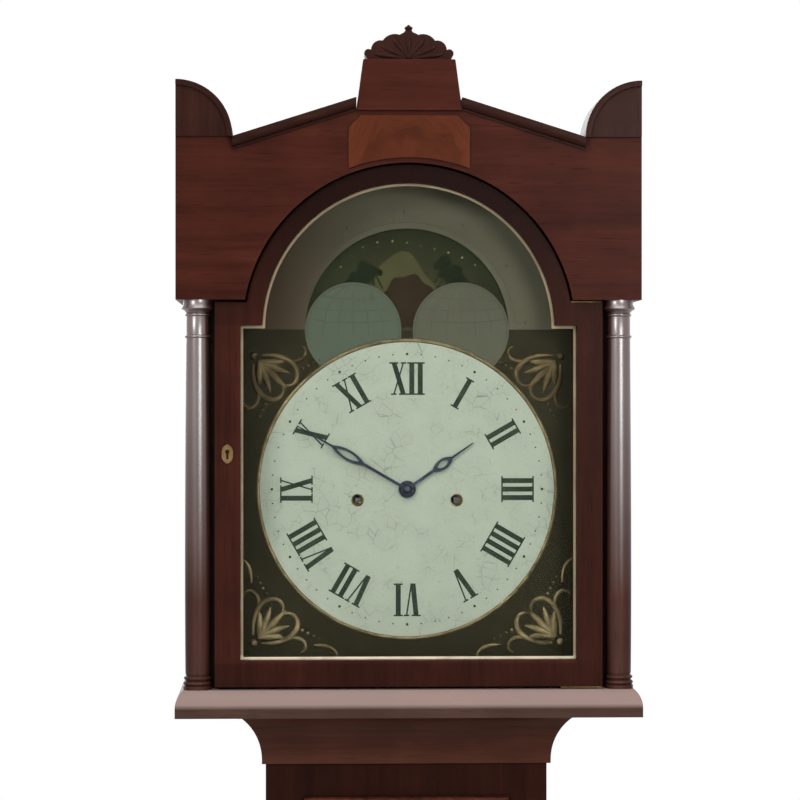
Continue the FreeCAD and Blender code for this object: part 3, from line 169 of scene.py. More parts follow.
hood_middle = (0.0, 0.0, 1.75)
lamp("key_lamp", (-1.9, -2.6, 3.0), hood_middle, 0.8, 0.8, 48.0)
lamp("window_lamp", (0.95, -2.4, 2.15), hood_middle, 0.8, 0.8, 30.0)
lamp("top_lamp", (0.1, -1.6, 3.8), hood_middle, 2.6, 1.0, 33.0)
lamp("low_lamp", (-1.2, -3.0, 0.9), (0.0, 0.0, 0.7), 1.4, 1.2, 12.0)
lamp("rear_lamp", (-0.8, 3.0, 2.6), (0.0, 0.1, 1.1), 2.0, 1.6, 25.0)

# Camera: level with the foot of the arch and a little to the left of the dial, at a portrait distance.
# It takes in the hood and the head of the trunk.
picture_height = 0.8136
picture_centre = Vector((-0.0097, cad_low.y, 1.814))
camera_distance = 3.0
camera_turn = radians(-2.0)
camera_data = bpy.data.cameras.new("camera")
camera_data.sensor_width = 36.0
camera_data.lens = camera_data.sensor_width * camera_distance / picture_height
camera = add("camera", camera_data)
camera.location = picture_centre + camera_distance * Vector((sin(camera_turn), -cos(camera_turn), 0.0))
camera.rotation_euler = (picture_centre - camera.location).to_track_quat("-Z", "Y").to_euler()
bpy.context.scene.camera = camera
bpy.context.scene.view_settings.view_transform = "Standard"

# Backboard, base floor, seatboard and hood runners: sawn softwood boards, left raw and browned with age.
# They are glued and nailed behind the show wood.


def node_group(name, **inputs):
    """Shader node group with inputs of the named kinds; returns it, its given sockets and its exit."""
    group = bpy.data.node_groups.new(name, "ShaderNodeTree")
    for label, kind in inputs.items():
        group.interface.new_socket(label, in_out="INPUT", socket_type="NodeSocket" + kind)
    for label, kind in (("Color", "Color"), ("Roughness", "Float"), ("Height", "Float")):
        group.interface.new_socket(label, in_out="OUTPUT", socket_type="NodeSocket" + kind)
    return group, group.nodes.new("NodeGroupInput").outputs, group.nodes.new("NodeGroupOutput")


def here(tree):
    """Place of the shaded point in the object's own axes."""
    return place(tree, "TexCoord").outputs["Object"]


def vectors(operation, *terms):
    """Vector maths node on a socket and on others or constants."""
    return place(terms[0].id_data, "VectorMath", dict(enumerate(terms)), operation=operation).outputs[0]


def noise(vector, scale, detail, roughness, distortion):
    """Noise texture on a coordinate socket."""
    values = {"Vector": vector, "Scale": scale, "Detail": detail, "Roughness": roughness,
              "Distortion": distortion}
    return place(vector.id_data, "TexNoise", values).outputs["Fac"]


def mix(share, a, b):
    """Mix of two colours by a socket's share of the second."""
    return place(share.id_data, "Mix", {0: share, 6: a, 7: b}, data_type="RGBA").outputs[2]


def corners(tree, reach, low, high, most):
    """Share of dirt in corners, by how closed in a point is within a reach in metres."""
    open_share = place(tree, "AmbientOcclusion", {"Distance": reach}, samples=6).outputs["AO"]
    return remap(open_share, low, high, most, 0.0)


def timber_group():
    """Sawn board: bands, fibres and pores drawn out along the grain, and dark corners."""
    group, given, leave = node_group(
        "timber", Grain="Vector", Dark="Color", Light="Color", Pore="Color", Figure="Float", Roughness="Float")
    spot = here(group)
    board = vectors("MULTIPLY", spot, given["Grain"])
    bands = noise(board, 13.0, 3.0, 0.55, 1.1)
    fibres = noise(board, 120.0, 5.0, 0.7, 0.4)
    pores = remap(noise(board, 620.0, 2.0, 0.5, 0.0), 0.6, 0.74)
    broad = maths("MULTIPLY", maths("SUBTRACT", bands, 0.5), given["Figure"])
    fine = maths("SUBTRACT", fibres, 0.5)
    tone = maths("ADD", broad, maths("MULTIPLY", fine, 0.9), 0.5)
    toned = mix(remap(tone, 0.0, 1.0), given["Dark"], given["Light"])
    mottle = remap(noise(spot, 17.0, 3.0, 0.6, 0.3), 0.3, 0.7, 0.8, 1.12)
    mottled = vectors("MULTIPLY", toned, mottle)
    pored = mix(maths("MULTIPLY", pores, 0.42), mottled, given["Pore"])
    crevice = corners(group, 0.012, 0.25, 0.85, 0.62)
    rough = maths("ADD", given["Roughness"], maths("MULTIPLY", fine, 0.16), maths("MULTIPLY", pores, 0.12),
                  maths("MULTIPLY", crevice, 0.2))
    feed(leave, {"Color": mix(crevice, pored, given["Pore"]), "Roughness": rough,
                 "Height": maths("SUBTRACT", maths("MULTIPLY", fibres, 0.35), pores)})
    return group


timber = timber_group()
along_x = (0.05, 1.0, 1.0)
along_y = (1.0, 0.05, 1.0)
along_z = (1.0, 1.0, 0.05)


def surface(name, group, values, bump, depth, gloss=0.5, metallic=0.0):
    """Material with a group's colour, roughness and relief; values follow the group's inputs, and gloss is
    the shader's specular level."""
    material, tree, shader = new_material(name)
    values = [value(tree) if callable(value) else value for value in values]
    skin = place(tree, "Group", dict(enumerate(values)), node_tree=group).outputs
    relief = place(tree, "Bump", {"Strength": bump, "Distance": depth, "Height": skin["Height"]})
    feed(shader, {"Base Color": skin["Color"], "Roughness": skin["Roughness"], "Specular IOR Level": gloss,
                  "Metallic": metallic, "Normal": relief.outputs["Normal"]})
    return material


def wood(name, grain, dark, light, pore, figure, roughness, gloss, depth):
    """Timber material; depth is the relief in metres."""
    return surface(name, timber, (grain, dark, light, pore, figure, roughness), 0.5, depth, gloss)


def smoothing_tree():
    """Geometry nodes that shade smooth across flat edges of two faces."""
    tree = bpy.data.node_groups.new("smooth_by_angle", "GeometryNodeTree")
    for side in ("INPUT", "OUTPUT"):
        tree.interface.new_socket("Geometry", in_out=side, socket_type="NodeSocketGeometry")
    angle = place(tree, "GeometryNodeInputMeshEdgeAngle").outputs["Unsigned Angle"]
    flat = place(tree, "FunctionNodeCompare", {0: angle, 1: radians(32)}, data_type="FLOAT",
                 operation="LESS_THAN")
    count = place(tree, "GeometryNodeInputMeshEdgeNeighbors").outputs["Face Count"]
    paired = place(tree, "FunctionNodeCompare", {2: count, 3: 2}, data_type="INT", operation="EQUAL")
    both = place(tree, "FunctionNodeBooleanMath", {0: flat.outputs[0], 1: paired.outputs[0]}, operation="AND")
    mesh = place(tree, "NodeGroupInput").outputs[0]
    faces = place(tree, "GeometryNodeSetShadeSmooth", {"Geometry": mesh, "Shade Smooth": True}, domain="FACE")
    values = {"Geometry": faces.outputs[0], "Shade Smooth": both.outputs[0]}
    edges = place(tree, "GeometryNodeSetShadeSmooth", values, domain="EDGE")
    place(tree, "NodeGroupOutput", {0: edges.outputs[0]})
    return tree


smooth_by_angle = smoothing_tree()


def dress(names, material, bevel=0.0):
    """Gives CAD nodes a material, edges eased to a width, smooth curves and flat flats."""
    for name in names.split():
        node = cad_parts[name]
        node.data.materials.clear()
        node.data.materials.append(material)
        node.modifiers.new("weld", "WELD").merge_threshold = 1e-6
        if bevel:
            ease = node.modifiers.new("ease", "BEVEL")
            ease.width = bevel
            ease.segments = 2
            ease.limit_method = "ANGLE"
            ease.angle_limit = radians(35)
        node.modifiers.new("smooth", "NODES").node_group = smooth_by_angle
        flats = node.modifiers.new("flats", "WEIGHTED_NORMAL")
        flats.mode = "FACE_AREA"
        flats.weight = 100
        flats.keep_sharp = True


board_edge = 0.0008
pine = ((0.2, 0.105, 0.045), (0.42, 0.25, 0.115), (0.1, 0.05, 0.022), 1.6, 0.72, 0.2, 0.0006)
pine_across = wood("pine_across", along_x, *pine)
dress("backboard", wood("pine_upright", along_z, *pine), board_edge)
dress("base_floor seatboard", pine_across, board_edge)
dress("hood_runners", wood("pine_deep", along_y, *pine), board_edge)

# Plinth, base and waist moulding: polished mahogany boards, the skirting and mouldings mitred at the
# corners and glued on. The grain runs up the base boards and along the mouldings.
moulding_edge = 0.0006
panel_edge = 0.001
mahogany = ((0.017, 0.0042, 0.0026), (0.068, 0.018, 0.011), (0.006, 0.0016, 0.001), 1.3, 0.36, 0.06, 0.00012)
mahogany_upright = wood("mahogany_upright", along_z, *mahogany)
mahogany_across = wood("mahogany_across", along_x, *mahogany)
dress("plinth", mahogany_across, board_edge)
dress("base_front base_sides", mahogany_upright, panel_edge)
dress("waist_moulding", mahogany_across, moulding_edge)

# Trunk: solid mahogany sides and a front frame of two stiles and two rails, jointed round the door,
# under a cavetto throat moulding that carries the hood.
dress("trunk_sides", mahogany_upright, panel_edge)
# The trunk front takes a darker copy of the mahogany, painted shade under the overhanging hood. The throat
# moulding takes a lighter copy, painted light where the hood base shades it.
shaded_trunk_wood = wood("shaded_trunk_wood", along_z, (0.009, 0.002, 0.001), (0.036, 0.0086, 0.0044),
                  (0.003, 0.0008, 0.0005), 1.3, 0.38, 0.04, 0.00012)
lit_throat_wood = wood("lit_throat_wood", along_x, (0.031, 0.0088, 0.0046), (0.116, 0.036, 0.0185),
                   (0.01, 0.0028, 0.0018), 1.2, 0.34, 0.1, 0.0001)
dress("trunk_front", shaded_trunk_wood, moulding_edge)
dress("throat_moulding", lit_throat_wood, moulding_edge)

# Trunk door: a mahogany slab faced with a flame veneer that is banded with cross-cut wood along its edge,
# hung on two brass butts with a lock behind the brass keyhole plate.


def axes_of(vector):
    """X, Y and Z sockets of a vector."""
    return place(vector.id_data, "SeparateXYZ", {0: vector}).outputs


def veneer_group():
    """Flame figure in the middle of a panel, a light string round it and a cross-cut band outside."""
    group, given, leave = node_group(
        "veneer", Centre="Vector", Half="Vector", Flame="Float", Dark="Color", Light="Color", String="Color",
        Roughness="Float")
    local = vectors("SUBTRACT", here(group), given["Centre"])
    spread = vectors("ABSOLUTE", local)
    inside = axes_of(vectors("SUBTRACT", given["Half"], spread))
    edge = maths("MINIMUM", inside["X"], inside["Z"])
    aside = axes_of(spread)["X"]
    bow = maths("MULTIPLY", maths("POWER", aside, 1.6), given["Flame"])
    warp = maths("MULTIPLY", noise(local, 9.0, 4.0, 0.6, 0.5), 0.1)
    lift = maths("ADD", axes_of(local)["Z"], bow, warp)
    flame = place(group, "CombineXYZ", {"X": maths("MULTIPLY", aside, 0.35), "Z": lift}).outputs[0]
    broad = noise(flame, 24.0, 3.0, 0.6, 0.0)
    fine = noise(flame, 130.0, 4.0, 0.65, 0.0)
    figure = maths("ADD", maths("MULTIPLY", broad, 0.7), maths("MULTIPLY", fine, 0.3))
    cross = noise(vectors("MULTIPLY", local, (0.35, 1.0, 1.0)), 150.0, 4.0, 0.7, 0.3)
    banded = remap(edge, -0.0001, 0.0001, 1.0, 0.0)
    tone = place(group, "Mix", {0: banded, 2: figure, 3: cross}, data_type="FLOAT").outputs[0]
    toned = mix(remap(tone, 0.3, 0.72), given["Dark"], given["Light"])
    string = remap(maths("ABSOLUTE", edge, 0.0), 0.0006, 0.0011, 1.0, 0.0)
    strung = mix(string, toned, given["String"])
    crevice = corners(group, 0.012, 0.25, 0.85, 0.6)
    feed(leave, {"Color": mix(crevice, strung, (0.01, 0.003, 0.002)), "Height": tone,
                 "Roughness": maths("ADD", given["Roughness"], maths("MULTIPLY", fine, 0.1))})
    return group


veneer = veneer_group()


def veneered(name, centre, half, flame, dark, light, string, roughness, gloss):
    """Veneer material for one panel; half is the half-size inside its cross-cut band."""
    return surface(name, veneer, (centre, half, flame, dark, light, string, roughness), 0.25, 0.0001, gloss)


door_low, door_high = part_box("trunk_door")
cross_band = 0.022
trunk_veneer = veneered("trunk_veneer", (door_low + door_high) / 2,
                        (door_high - door_low) / 2 - Vector((cross_band, 0.0, cross_band)), 9.0,
                        (0.017, 0.0037, 0.0019), (0.112, 0.029, 0.0125), (0.24, 0.115, 0.042), 0.3, 0.1)
dress("trunk_door", trunk_veneer, moulding_edge)


def metal_group():
    """Polished or cast metal: drawn-out scratches, clouded tarnish, and dirt in the corners."""
    group, given, leave = node_group(
        "metal", Bright="Color", Tarnish="Color", Amount="Float", Roughness="Float", Brush="Vector",
        Grain="Float")
    spot = here(group)
    scratches = noise(vectors("MULTIPLY", spot, given["Brush"]), given["Grain"], 3.0, 0.6, 0.0)
    clouds = remap(noise(spot, 45.0, 5.0, 0.65, 0.6), 0.38, 0.68)
    stain = maths("MULTIPLY", clouds, given["Amount"])
    aged = maths("MINIMUM", maths("ADD", stain, corners(group, 0.006, 0.3, 0.9, 0.8)), 1.0)
    rough = maths("ADD", given["Roughness"], maths("MULTIPLY", scratches, 0.16), maths("MULTIPLY", aged, 0.22))
    feed(leave, {"Color": mix(aged, given["Bright"], given["Tarnish"]), "Roughness": rough,
                 "Height": scratches})
    return group


metal_finish = metal_group()


def metal(name, bright, tarnish, amount, roughness, brush=(1.0, 1.0, 1.0), grain=400.0, bump=0.3,
          depth=0.00003):
    """Metal material; depth is that of its scratches or casting skin in metres."""
    return surface(name, metal_finish, (bright, tarnish, amount, roughness, brush, grain), bump, depth,
                   metallic=1.0)


metal_edge = 0.0003
brass_tones = ((0.72, 0.5, 0.2), (0.22, 0.125, 0.045))
case_brass = metal("case_brass", (0.46, 0.31, 0.115), brass_tones[1], 0.8, 0.3)
dress("trunk_hinge_fixed trunk_hinge_moving trunk_escutcheon", case_brass, metal_edge)

# Movement: two lacquered brass plates on turned pillars, standing on the seatboard, with steel arbors and
# brass wheels pivoted between them. The back cock and the bell's stand are screwed to the rear plate.
cast_edge = 0.0004
steel_tones = ((0.3, 0.3, 0.31), (0.07, 0.06, 0.052))
black_steel = (0.045, 0.045, 0.047)
plate_brass = metal("plate_brass", *brass_tones, 0.45, 0.24, (0.12, 1.0, 1.0), 900.0)
dark_steel = metal("dark_steel", *steel_tones, 0.55, 0.32)
dress("movement_plates movement_pillars", plate_brass, metal_edge)
dress("back_cock", plate_brass, cast_edge)
dress("bell_stand", dark_steel, cast_edge)


def within(tree, point, radius, blur=0.0001):
    """1 within a radius of the axis along Y through a point, 0 outside, in metres."""
    flat = vectors("MULTIPLY", vectors("SUBTRACT", here(tree), point), (1.0, 0.0, 1.0))
    reach = place(tree, "VectorMath", {0: flat}, operation="LENGTH").outputs["Value"]
    return remap(reach, radius - blur, radius + blur, 1.0, 0.0)


def shader_of(material):
    """Principled shader of a material."""
    return next(node for node in material.node_tree.nodes if node.type == "BSDF_PRINCIPLED")


def overlay(material, share, colour):
    """Lays a colour over a material's own by a share."""
    own = shader_of(material).inputs["Base Color"].links[0].from_socket
    feed(shader_of(material), {"Base Color": mix(share, own, colour)})


def middle_of(node):
    """Middle of a node's box, which for a wheel is on its axis."""
    low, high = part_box(node)
    return (low + high) / 2


def wheelwork(wheel, steel_radius, steel_tone):
    """Brass wheel on a steel arbor: steel within a radius of its axis."""
    material = metal(wheel + "_finish", *brass_tones, 0.4, 0.24, grain=700.0, bump=0.2, depth=0.00002)
    tree = material.node_tree
    values = (steel_tone, steel_tones[1], 0.25, 0.24, (1.0, 0.1, 1.0), 900.0)
    steel = place(tree, "Group", dict(enumerate(values)), node_tree=metal_finish)
    overlay(material, within(tree, middle_of(wheel), steel_radius), steel.outputs["Color"])
    return material


tooth_edge = 0.00012
arbor_radii = {
    "going_great_wheel": 0.0041, "centre_wheel": 0.0047, "third_wheel": 0.0042, "escape_wheel": 0.0034,
    "minute_wheel": 0.0031, "hour_wheel": 0.0001, "going_barrel": 0.0042, "strike_barrel": 0.0042}
for wheel, arbor_radius in arbor_radii.items():
    blackened = wheel in ("centre_wheel", "going_barrel", "strike_barrel")
    dress(wheel, wheelwork(wheel, arbor_radius, black_steel if blackened else steel_tones[0]), tooth_edge)
dress("pallets", metal("pallet_steel", *steel_tones, 0.3, 0.26), metal_edge)

# Bell and hammer: a cast bell, turned smooth and open below, on the end of its stand, and a steel hammer on
# its own arbor beside the rim.


def piece(name, mesh, material, body):
    """Puts a mesh into the scene with a material, riding on a body."""
    mesh.materials.append(material)
    thing = add(name, mesh)
    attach(thing, body)
    return thing


def mesh_of(name, points, faces, smooth=True):
    """Mesh of points and faces, shaded smooth or flat."""
    mesh = bpy.data.meshes.new(name)
    mesh.from_pydata(points, [], faces)
    mesh.polygons.foreach_set("use_smooth", [smooth] * len(faces))
    return mesh


def arc(start, end, steps):
    """Evenly spaced turns between two in degrees, both ends included, in radians."""
    return [radians(start + (end - start) * k / steps) for k in range(steps + 1)]


def bands(start, rows, steps):
    """Faces between neighbouring rows of points, each row closed on itself."""
    faces = []
    for row in range(start, start + (rows - 1) * steps, steps):
        for k in range(steps):
            after = (k + 1) % steps
            faces.append((row + k, row + after, row + steps + after, row + steps + k))
    return faces


def lathe(name, turnings, material, body, steps=64):
    """Turned pieces in one mesh; each is (middle, axis, profile of (radius, height) points)."""
    points = []
    faces = []
    for middle, axis, profile in turnings:
        upright = Vector(axis).to_track_quat("Z", "Y").to_matrix()
        start = len(points)
        for radius, height in profile:
            points += [middle + upright @ Vector((radius * cos(turn), radius * sin(turn), height))
                       for turn in arc(0, 360, steps)[:-1]]
        faces += bands(start, len(profile), steps)
        faces.append([start + k for k in reversed(range(steps))])
        faces.append([len(points) - steps + k for k in range(steps)])
    mesh = mesh_of(name, points, faces)
    mesh.set_sharp_from_angle(angle=radians(40))
    return piece(name, mesh, material, body)


def upright_of(node):
    """Foot, radius and height of a round node that stands upright."""
    low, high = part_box(node)
    return Vector(((low.x + high.x) / 2, (low.y + high.y) / 2, low.z)), (high.x - low.x) / 2, high.z - low.z


vertical = (0, 0, 1)
bell_mouth, bell_radius, bell_rise = upright_of("bell")
bell_wall = 0.0022
bell_side = [(bell_radius * cos(turn) ** 0.92, bell_rise * sin(turn) ** 1.05) for turn in arc(86, 0, 14)]
bell_inside = [(max(radius - bell_wall, 0.0008), max(height - bell_wall, 0.0))
               for radius, height in bell_side[::-1]]
bell_metal = metal("bell_metal", (0.52, 0.38, 0.19), (0.18, 0.125, 0.06), 0.6, 0.26, (1.0, 1.0, 6.0), 300.0)
bell_cup = lathe("bell_cup", [(bell_mouth, vertical, bell_side + bell_inside)], bell_metal, "case")
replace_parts(bell_cup, "bell")
dress("hammer", dark_steel, metal_edge)

# Pendulum: a steel rod on a thin spring, and a lead bob faced with brass, lens-shaped with a turned rim,
# held up by a rating nut.
thin_edge = 0.0002
dress("pendulum_rod", metal("rod_steel", *steel_tones, 0.35, 0.3, (1.0, 1.0, 0.1), 800.0), thin_edge)
bob_low, bob_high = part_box("pendulum_bob")
bob_radius = (bob_high.x - bob_low.x) / 2
rim_half = 0.0022
dome = (bob_high.y - bob_low.y) / 2 - rim_half
bob_face = [(0.97 * bob_radius * sin(turn), -rim_half - dome * cos(turn) ** 1.4)
            for turn in arc(1, 90, 18)] + [(0.985 * bob_radius, -0.0026), (bob_radius, -0.0016)]
bob_profile = bob_face + [(radius, -height) for radius, height in bob_face[::-1]]
bob_brass = metal("bob_brass", (0.56, 0.39, 0.155), brass_tones[1], 0.5, 0.22, grain=350.0)
bob = lathe("bob_lens", [(middle_of("pendulum_bob"), (0, 1, 0), bob_profile)], bob_brass, "pendulum",
            96)
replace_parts(bob, "pendulum_bob")

# Weights and pulleys: cast-iron weights with two cast beads, hung in steel stirrups from brass pulleys.
# The beads run round the foot and the shoulder.
cast_iron = metal("cast_iron", (0.06, 0.057, 0.055), (0.085, 0.045, 0.028), 0.5, 0.48, grain=260.0,
                  depth=0.0004)
pulley_brass = metal("pulley_brass", *brass_tones, 0.5, 0.28)
bead_heights = (0.016, 0.224)
bead_rise = 0.0014
bead_half = 0.0022
for side in ("going", "strike"):
    dress(side + "_weight", cast_iron, moulding_edge)
    dress(side + "_pulley", pulley_brass, metal_edge)
    weight_foot, weight_radius = upright_of(side + "_weight")[:2]
    beads = []
    for height in bead_heights:
        bead = [(weight_radius - 0.0004 + bead_rise * sin(pi * k / 8), height + bead_half * (k / 4 - 1))
                for k in range(9)]
        beads.append((weight_foot, vertical, bead))
    lathe(side + "_weight_beads", beads, cast_iron, side + "_weight")

# Gut lines: twisted gut, a few turns left on each barrel, then down to the pulley, round it and up to a knot
# over the seatboard. The two falls shorten as the weight is wound up, and the loop rides with the pulley.
gut_material, gut_tree, gut_shader = new_material("gut")
gut_values = {"Vector": here(gut_tree), "Scale": 260.0, "Distortion": 0.6, "Detail": 1.0}
gut_twist = place(gut_tree, "TexWave", gut_values, bands_direction="DIAGONAL").outputs["Fac"]
feed(gut_shader, {"Base Color": mix(gut_twist, (0.26, 0.15, 0.06), (0.5, 0.34, 0.16)),
                  "Roughness": 0.45, "Specular IOR Level": 0.35})
line_radius = 0.0008
line_depth = 0.002


def tube(name, route, body):
    """Round gut through a list of points, open at its ends."""
    points = []
    sides = 10
    across = Vector((0, 1, 0))
    for k, middle in enumerate(route):
        along = (route[min(k + 1, len(route) - 1)] - route[max(k - 1, 0)]).normalized()
        across = (across - along * across.dot(along)).normalized()
        other = along.cross(across)
        points += [middle + line_radius * (cos(turn) * across + sin(turn) * other)
                   for turn in arc(0, 360, sides)[:-1]]
    return piece(name, mesh_of(name, points, bands(0, len(route), sides)), gut_material, body)


barrel = middle_of("going_barrel")
wrap_radius = 0.0221
wrap_pitch = 0.0018
wrap_degrees = 1152
pulley_radius = 0.02
seat_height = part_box("seatboard")[1].z
knot = 0.0007
for side, hand in (("going", 1), ("strike", -1)):
    pulley = middle_of(side + "_pulley")
    out_x = pulley.x + hand * pulley_radius
    in_x = pulley.x - hand * pulley_radius
    wound = [Vector((hand * (abs(barrel.x) + wrap_radius * cos(turn)), line_depth - wrap_pitch * turn / tau,
                     barrel.z + wrap_radius * sin(turn))) for turn in arc(0, wrap_degrees, 160)]
    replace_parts(tube(side + "_gut_turns", wound, "case"), side + "_line")
    for fall, x, top in (("outer", out_x, barrel.z), ("inner", in_x, seat_height)):
        gut = tube(side + "_gut_" + fall, [Vector((x, line_depth, z)) for z in (top, pulley.z)], "case")
        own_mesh(gut)
    bight = [Vector((pulley.x + hand * pulley_radius * cos(turn), line_depth,
                     pulley.z - pulley_radius * sin(turn))) for turn in arc(0, 180, 40)]
    tube(side + "_gut_loop", bight, side + "_weight")
    tied = [Vector((in_x + knot * (sin(turn) + 2 * sin(2 * turn)),
                    line_depth + knot * (cos(turn) - 2 * cos(2 * turn)),
                    seat_height + 0.0022 - 0.0009 * sin(3 * turn))) for turn in arc(0, 360, 72)]
    tube(side + "_gut_knot", tied, "case")

# Dial: an iron plate painted in oil. The ground is laid by the shader in fields: a pale disc for the hours,
# dark olive corners, and the lunar arch with its two humps, laid darker than their pale paint as painted shade
# from the arch frame and darkest on the left. Lines and figures are painted on top.
dial_low, dial_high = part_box("dial_plate")
dial_front = dial_low.y
hub = middle_of("hour_wheel")
dial_middle = Vector((hub.x, dial_front, hub.z))
arch_middle = Vector((0.0, dial_front, dial_high.z - 0.156))
lunar_radius = 0.152
disc_radius = 0.154
hump_radius = 0.05
humps = [Vector((x, dial_front, arch_middle.z)) for x in (-0.056, 0.056)]
# The humps and the lunar band are laid darker than their pale paint: painted shade from the arch frame.
shaded_hump_grounds = ((0.082, 0.098, 0.073), (0.09, 0.088, 0.064))
hour_ground = (0.395, 0.422, 0.358)
olive_ground = (0.019, 0.016, 0.0075)
shaded_lunar_ground = (0.1, 0.092, 0.064)
left_lunar_shade = (0.058, 0.034, 0.021)
back_primer = (0.05, 0.024, 0.015)


def paint_group():
    """Old oil paint: faint clouding, hair cracks and rubbed dirt over a ground colour."""
    group, given, leave = node_group("paint", Ground="Color", Dirt="Color", Clouding="Float", Cracks="Float")
    spot = here(group)
    clouds = noise(spot, 30.0, 6.0, 0.6, 0.4)
    specks = noise(spot, 420.0, 3.0, 0.6, 0.0)
    crazing = place(group, "TexVoronoi", {"Vector": spot, "Scale": 85.0}, feature="DISTANCE_TO_EDGE")
    crack = maths("MULTIPLY", remap(crazing.outputs["Distance"], 0.0, 0.025, 1.0, 0.0),
                  remap(clouds, 0.48, 0.62))
    dirt = maths("ADD", maths("MULTIPLY", remap(clouds, 0.35, 0.75), given["Clouding"]),
                 maths("MULTIPLY", remap(specks, 0.62, 0.75), 0.3), maths("MULTIPLY", crack, given["Cracks"]))
    feed(leave, {"Color": mix(maths("MINIMUM", dirt, 1.0), given["Ground"], given["Dirt"]),
                 "Roughness": remap(clouds, 0.3, 0.7, 0.38, 0.55),
                 "Height": maths("SUBTRACT", specks, crack)})
    return group


paint = paint_group()


def painted(name, ground, dirt, clouding, cracks):
    """Paint material; ground is a colour, or a function that makes a colour socket."""
    return surface(name, paint, (ground, dirt, clouding, cracks), 0.15, 0.00006, 0.04)


def dial_fields(tree):
    """Olive corners, the lunar arch and its humps darkened with painted shade, most on the left, the hour
    disc, and bare primer on the back.
    """
    x, y, z = axes_of(here(tree))
    in_arch = maths("MULTIPLY", remap(z, arch_middle.z + 0.0009, arch_middle.z + 0.0011),
                    within(tree, arch_middle, lunar_radius))
    # Painted shade: the lunar band turns dark brown towards the left, where the frame's shadow falls.
    band = mix(remap(x, -0.15, -0.03, 1.0, 0.0), shaded_lunar_ground, left_lunar_shade)
    face = mix(in_arch, olive_ground, band)
    for hump, ground in zip(humps, shaded_hump_grounds):
        face = mix(within(tree, hump, hump_radius + 0.0001), face, ground)
    face = mix(within(tree, dial_middle, disc_radius), face, hour_ground)
    behind = remap(y, dial_front + 0.0004, dial_front + 0.0006)
    return mix(behind, face, back_primer)


dress("dial_plate", painted("dial_paint", dial_fields, (0.05, 0.044, 0.026), 0.14, 0.5))

# Hour numerals and minute dots: drawn in dark green paint, the roman figures with thick and thin strokes and
# their feet to the centre.
paint_height = 0.00012


def layer(name, outlines, material, front, body, slot, coats=1.0):
    """Painted layer of closed (x, z) outlines on the plane y = front, each a hair thicker."""
    points = []
    faces = []
    for index, outline in enumerate(outlines):
        start = len(points)
        face = front - coats * paint_height - 1.5e-6 * (index % 32)
        points += [(x, y, z) for y in (face, front) for x, z in outline]
        faces.append([start + k for k in range(len(outline))])
        faces += bands(start, 2, len(outline))
    mesh = mesh_of(name, points, faces, False)
    solid = bmesh.new()
    solid.from_mesh(mesh)
    bmesh.ops.recalc_face_normals(solid, faces=solid.faces)
    solid.to_mesh(mesh)
    solid.free()
    return piece(name, mesh, material, body)


def polar(middle, radius, turn):
    """(x, z) at a radius and a turn clockwise from the top."""
    return middle.x + radius * sin(turn), middle.z + radius * cos(turn)


def dot(middle, radius, sides=12):
    """Round dot as an outline."""
    return [(middle[0] + radius * cos(turn), middle[1] + radius * sin(turn))
            for turn in arc(0, 360, sides)[:-1]]


on_dial = (dial_front, "case", "dial_paint")
figure_paint = painted("figure_paint", (0.02, 0.03, 0.021), (0.09, 0.1, 0.07), 0.35, 0.2)
numeral_height = 0.034
numeral_radius = 0.115
thick = 0.0052
thin = 0.0016
serif = 0.0021
stroke_room = {"I": 0.0088, "V": 0.0185, "X": 0.0185}
numerals = "XII I II III IIII V VI VII VIII IX X XI".split()


def stroke_between(low, foot, high, head, width):
    """Straight stroke between two heights of a numeral, as (across, height) corners."""
    half = width / 2
    return [(foot - half, low), (foot + half, low), (head + half, high), (head - half, high)]


def letter_strokes(letter, middle):
    """Strokes of one roman figure round the middle of its room, with serifs."""
    lean = stroke_room[letter] / 2 - 2 * serif
    ends = {"I": [(middle, middle, thick)],
            "V": [(middle - thin, middle - lean, thick), (middle, middle + lean, thin)],
            "X": [(middle + lean, middle - lean, thick), (middle - lean, middle + lean, thin)]}[letter]
    strokes = []
    for foot, head, width in ends:
        wide = width + 2 * serif
        strokes += [stroke_between(0.0, foot, numeral_height, head, width),
                    stroke_between(numeral_height - thin, head, numeral_height, head, wide)]
        if letter != "V":
            strokes.append(stroke_between(0.0, foot, thin, foot, wide))
    return strokes


numeral_outlines = []
for hour, numeral in enumerate(numerals):
    turn = radians(30 * hour)
    across = -sum(stroke_room[letter] for letter in numeral) / 2
    for letter in numeral:
        for stroke in letter_strokes(letter, across + stroke_room[letter] / 2):
            outline = []
            for aside, height in stroke:
                x, z = polar(dial_middle, numeral_radius - numeral_height / 2 + height, turn)
                outline.append((x + aside * cos(turn), z - aside * sin(turn)))
            numeral_outlines.append(outline)
        across += stroke_room[letter]
layer("hour_numerals", numeral_outlines, figure_paint, *on_dial)
minute_radius = 0.1405
minute_marks = [dot(polar(dial_middle, minute_radius, radians(6 * minute)), 0.0008 if minute % 5 else 0.0014)
                for minute in range(60)]
layer("minute_dots", minute_marks, figure_paint, *on_dial)

# Gilt ring and corner scrolls: gesso raised on the plate in strokes and gilded. Each corner has a leaf of
# five lobes, two scrolls that run along the edges, and berries between them.
leaf_finish = {"amount": 0.9, "roughness": 0.45, "grain": 500.0, "depth": 0.0001}
gilding = metal("gilding", (0.135, 0.104, 0.056), (0.042, 0.032, 0.017), **leaf_finish)
# The upper corners take a darker gilding than the lower.
dim_gilding = metal("dim_gilding", (0.078, 0.057, 0.029), (0.028, 0.021, 0.011), **leaf_finish)


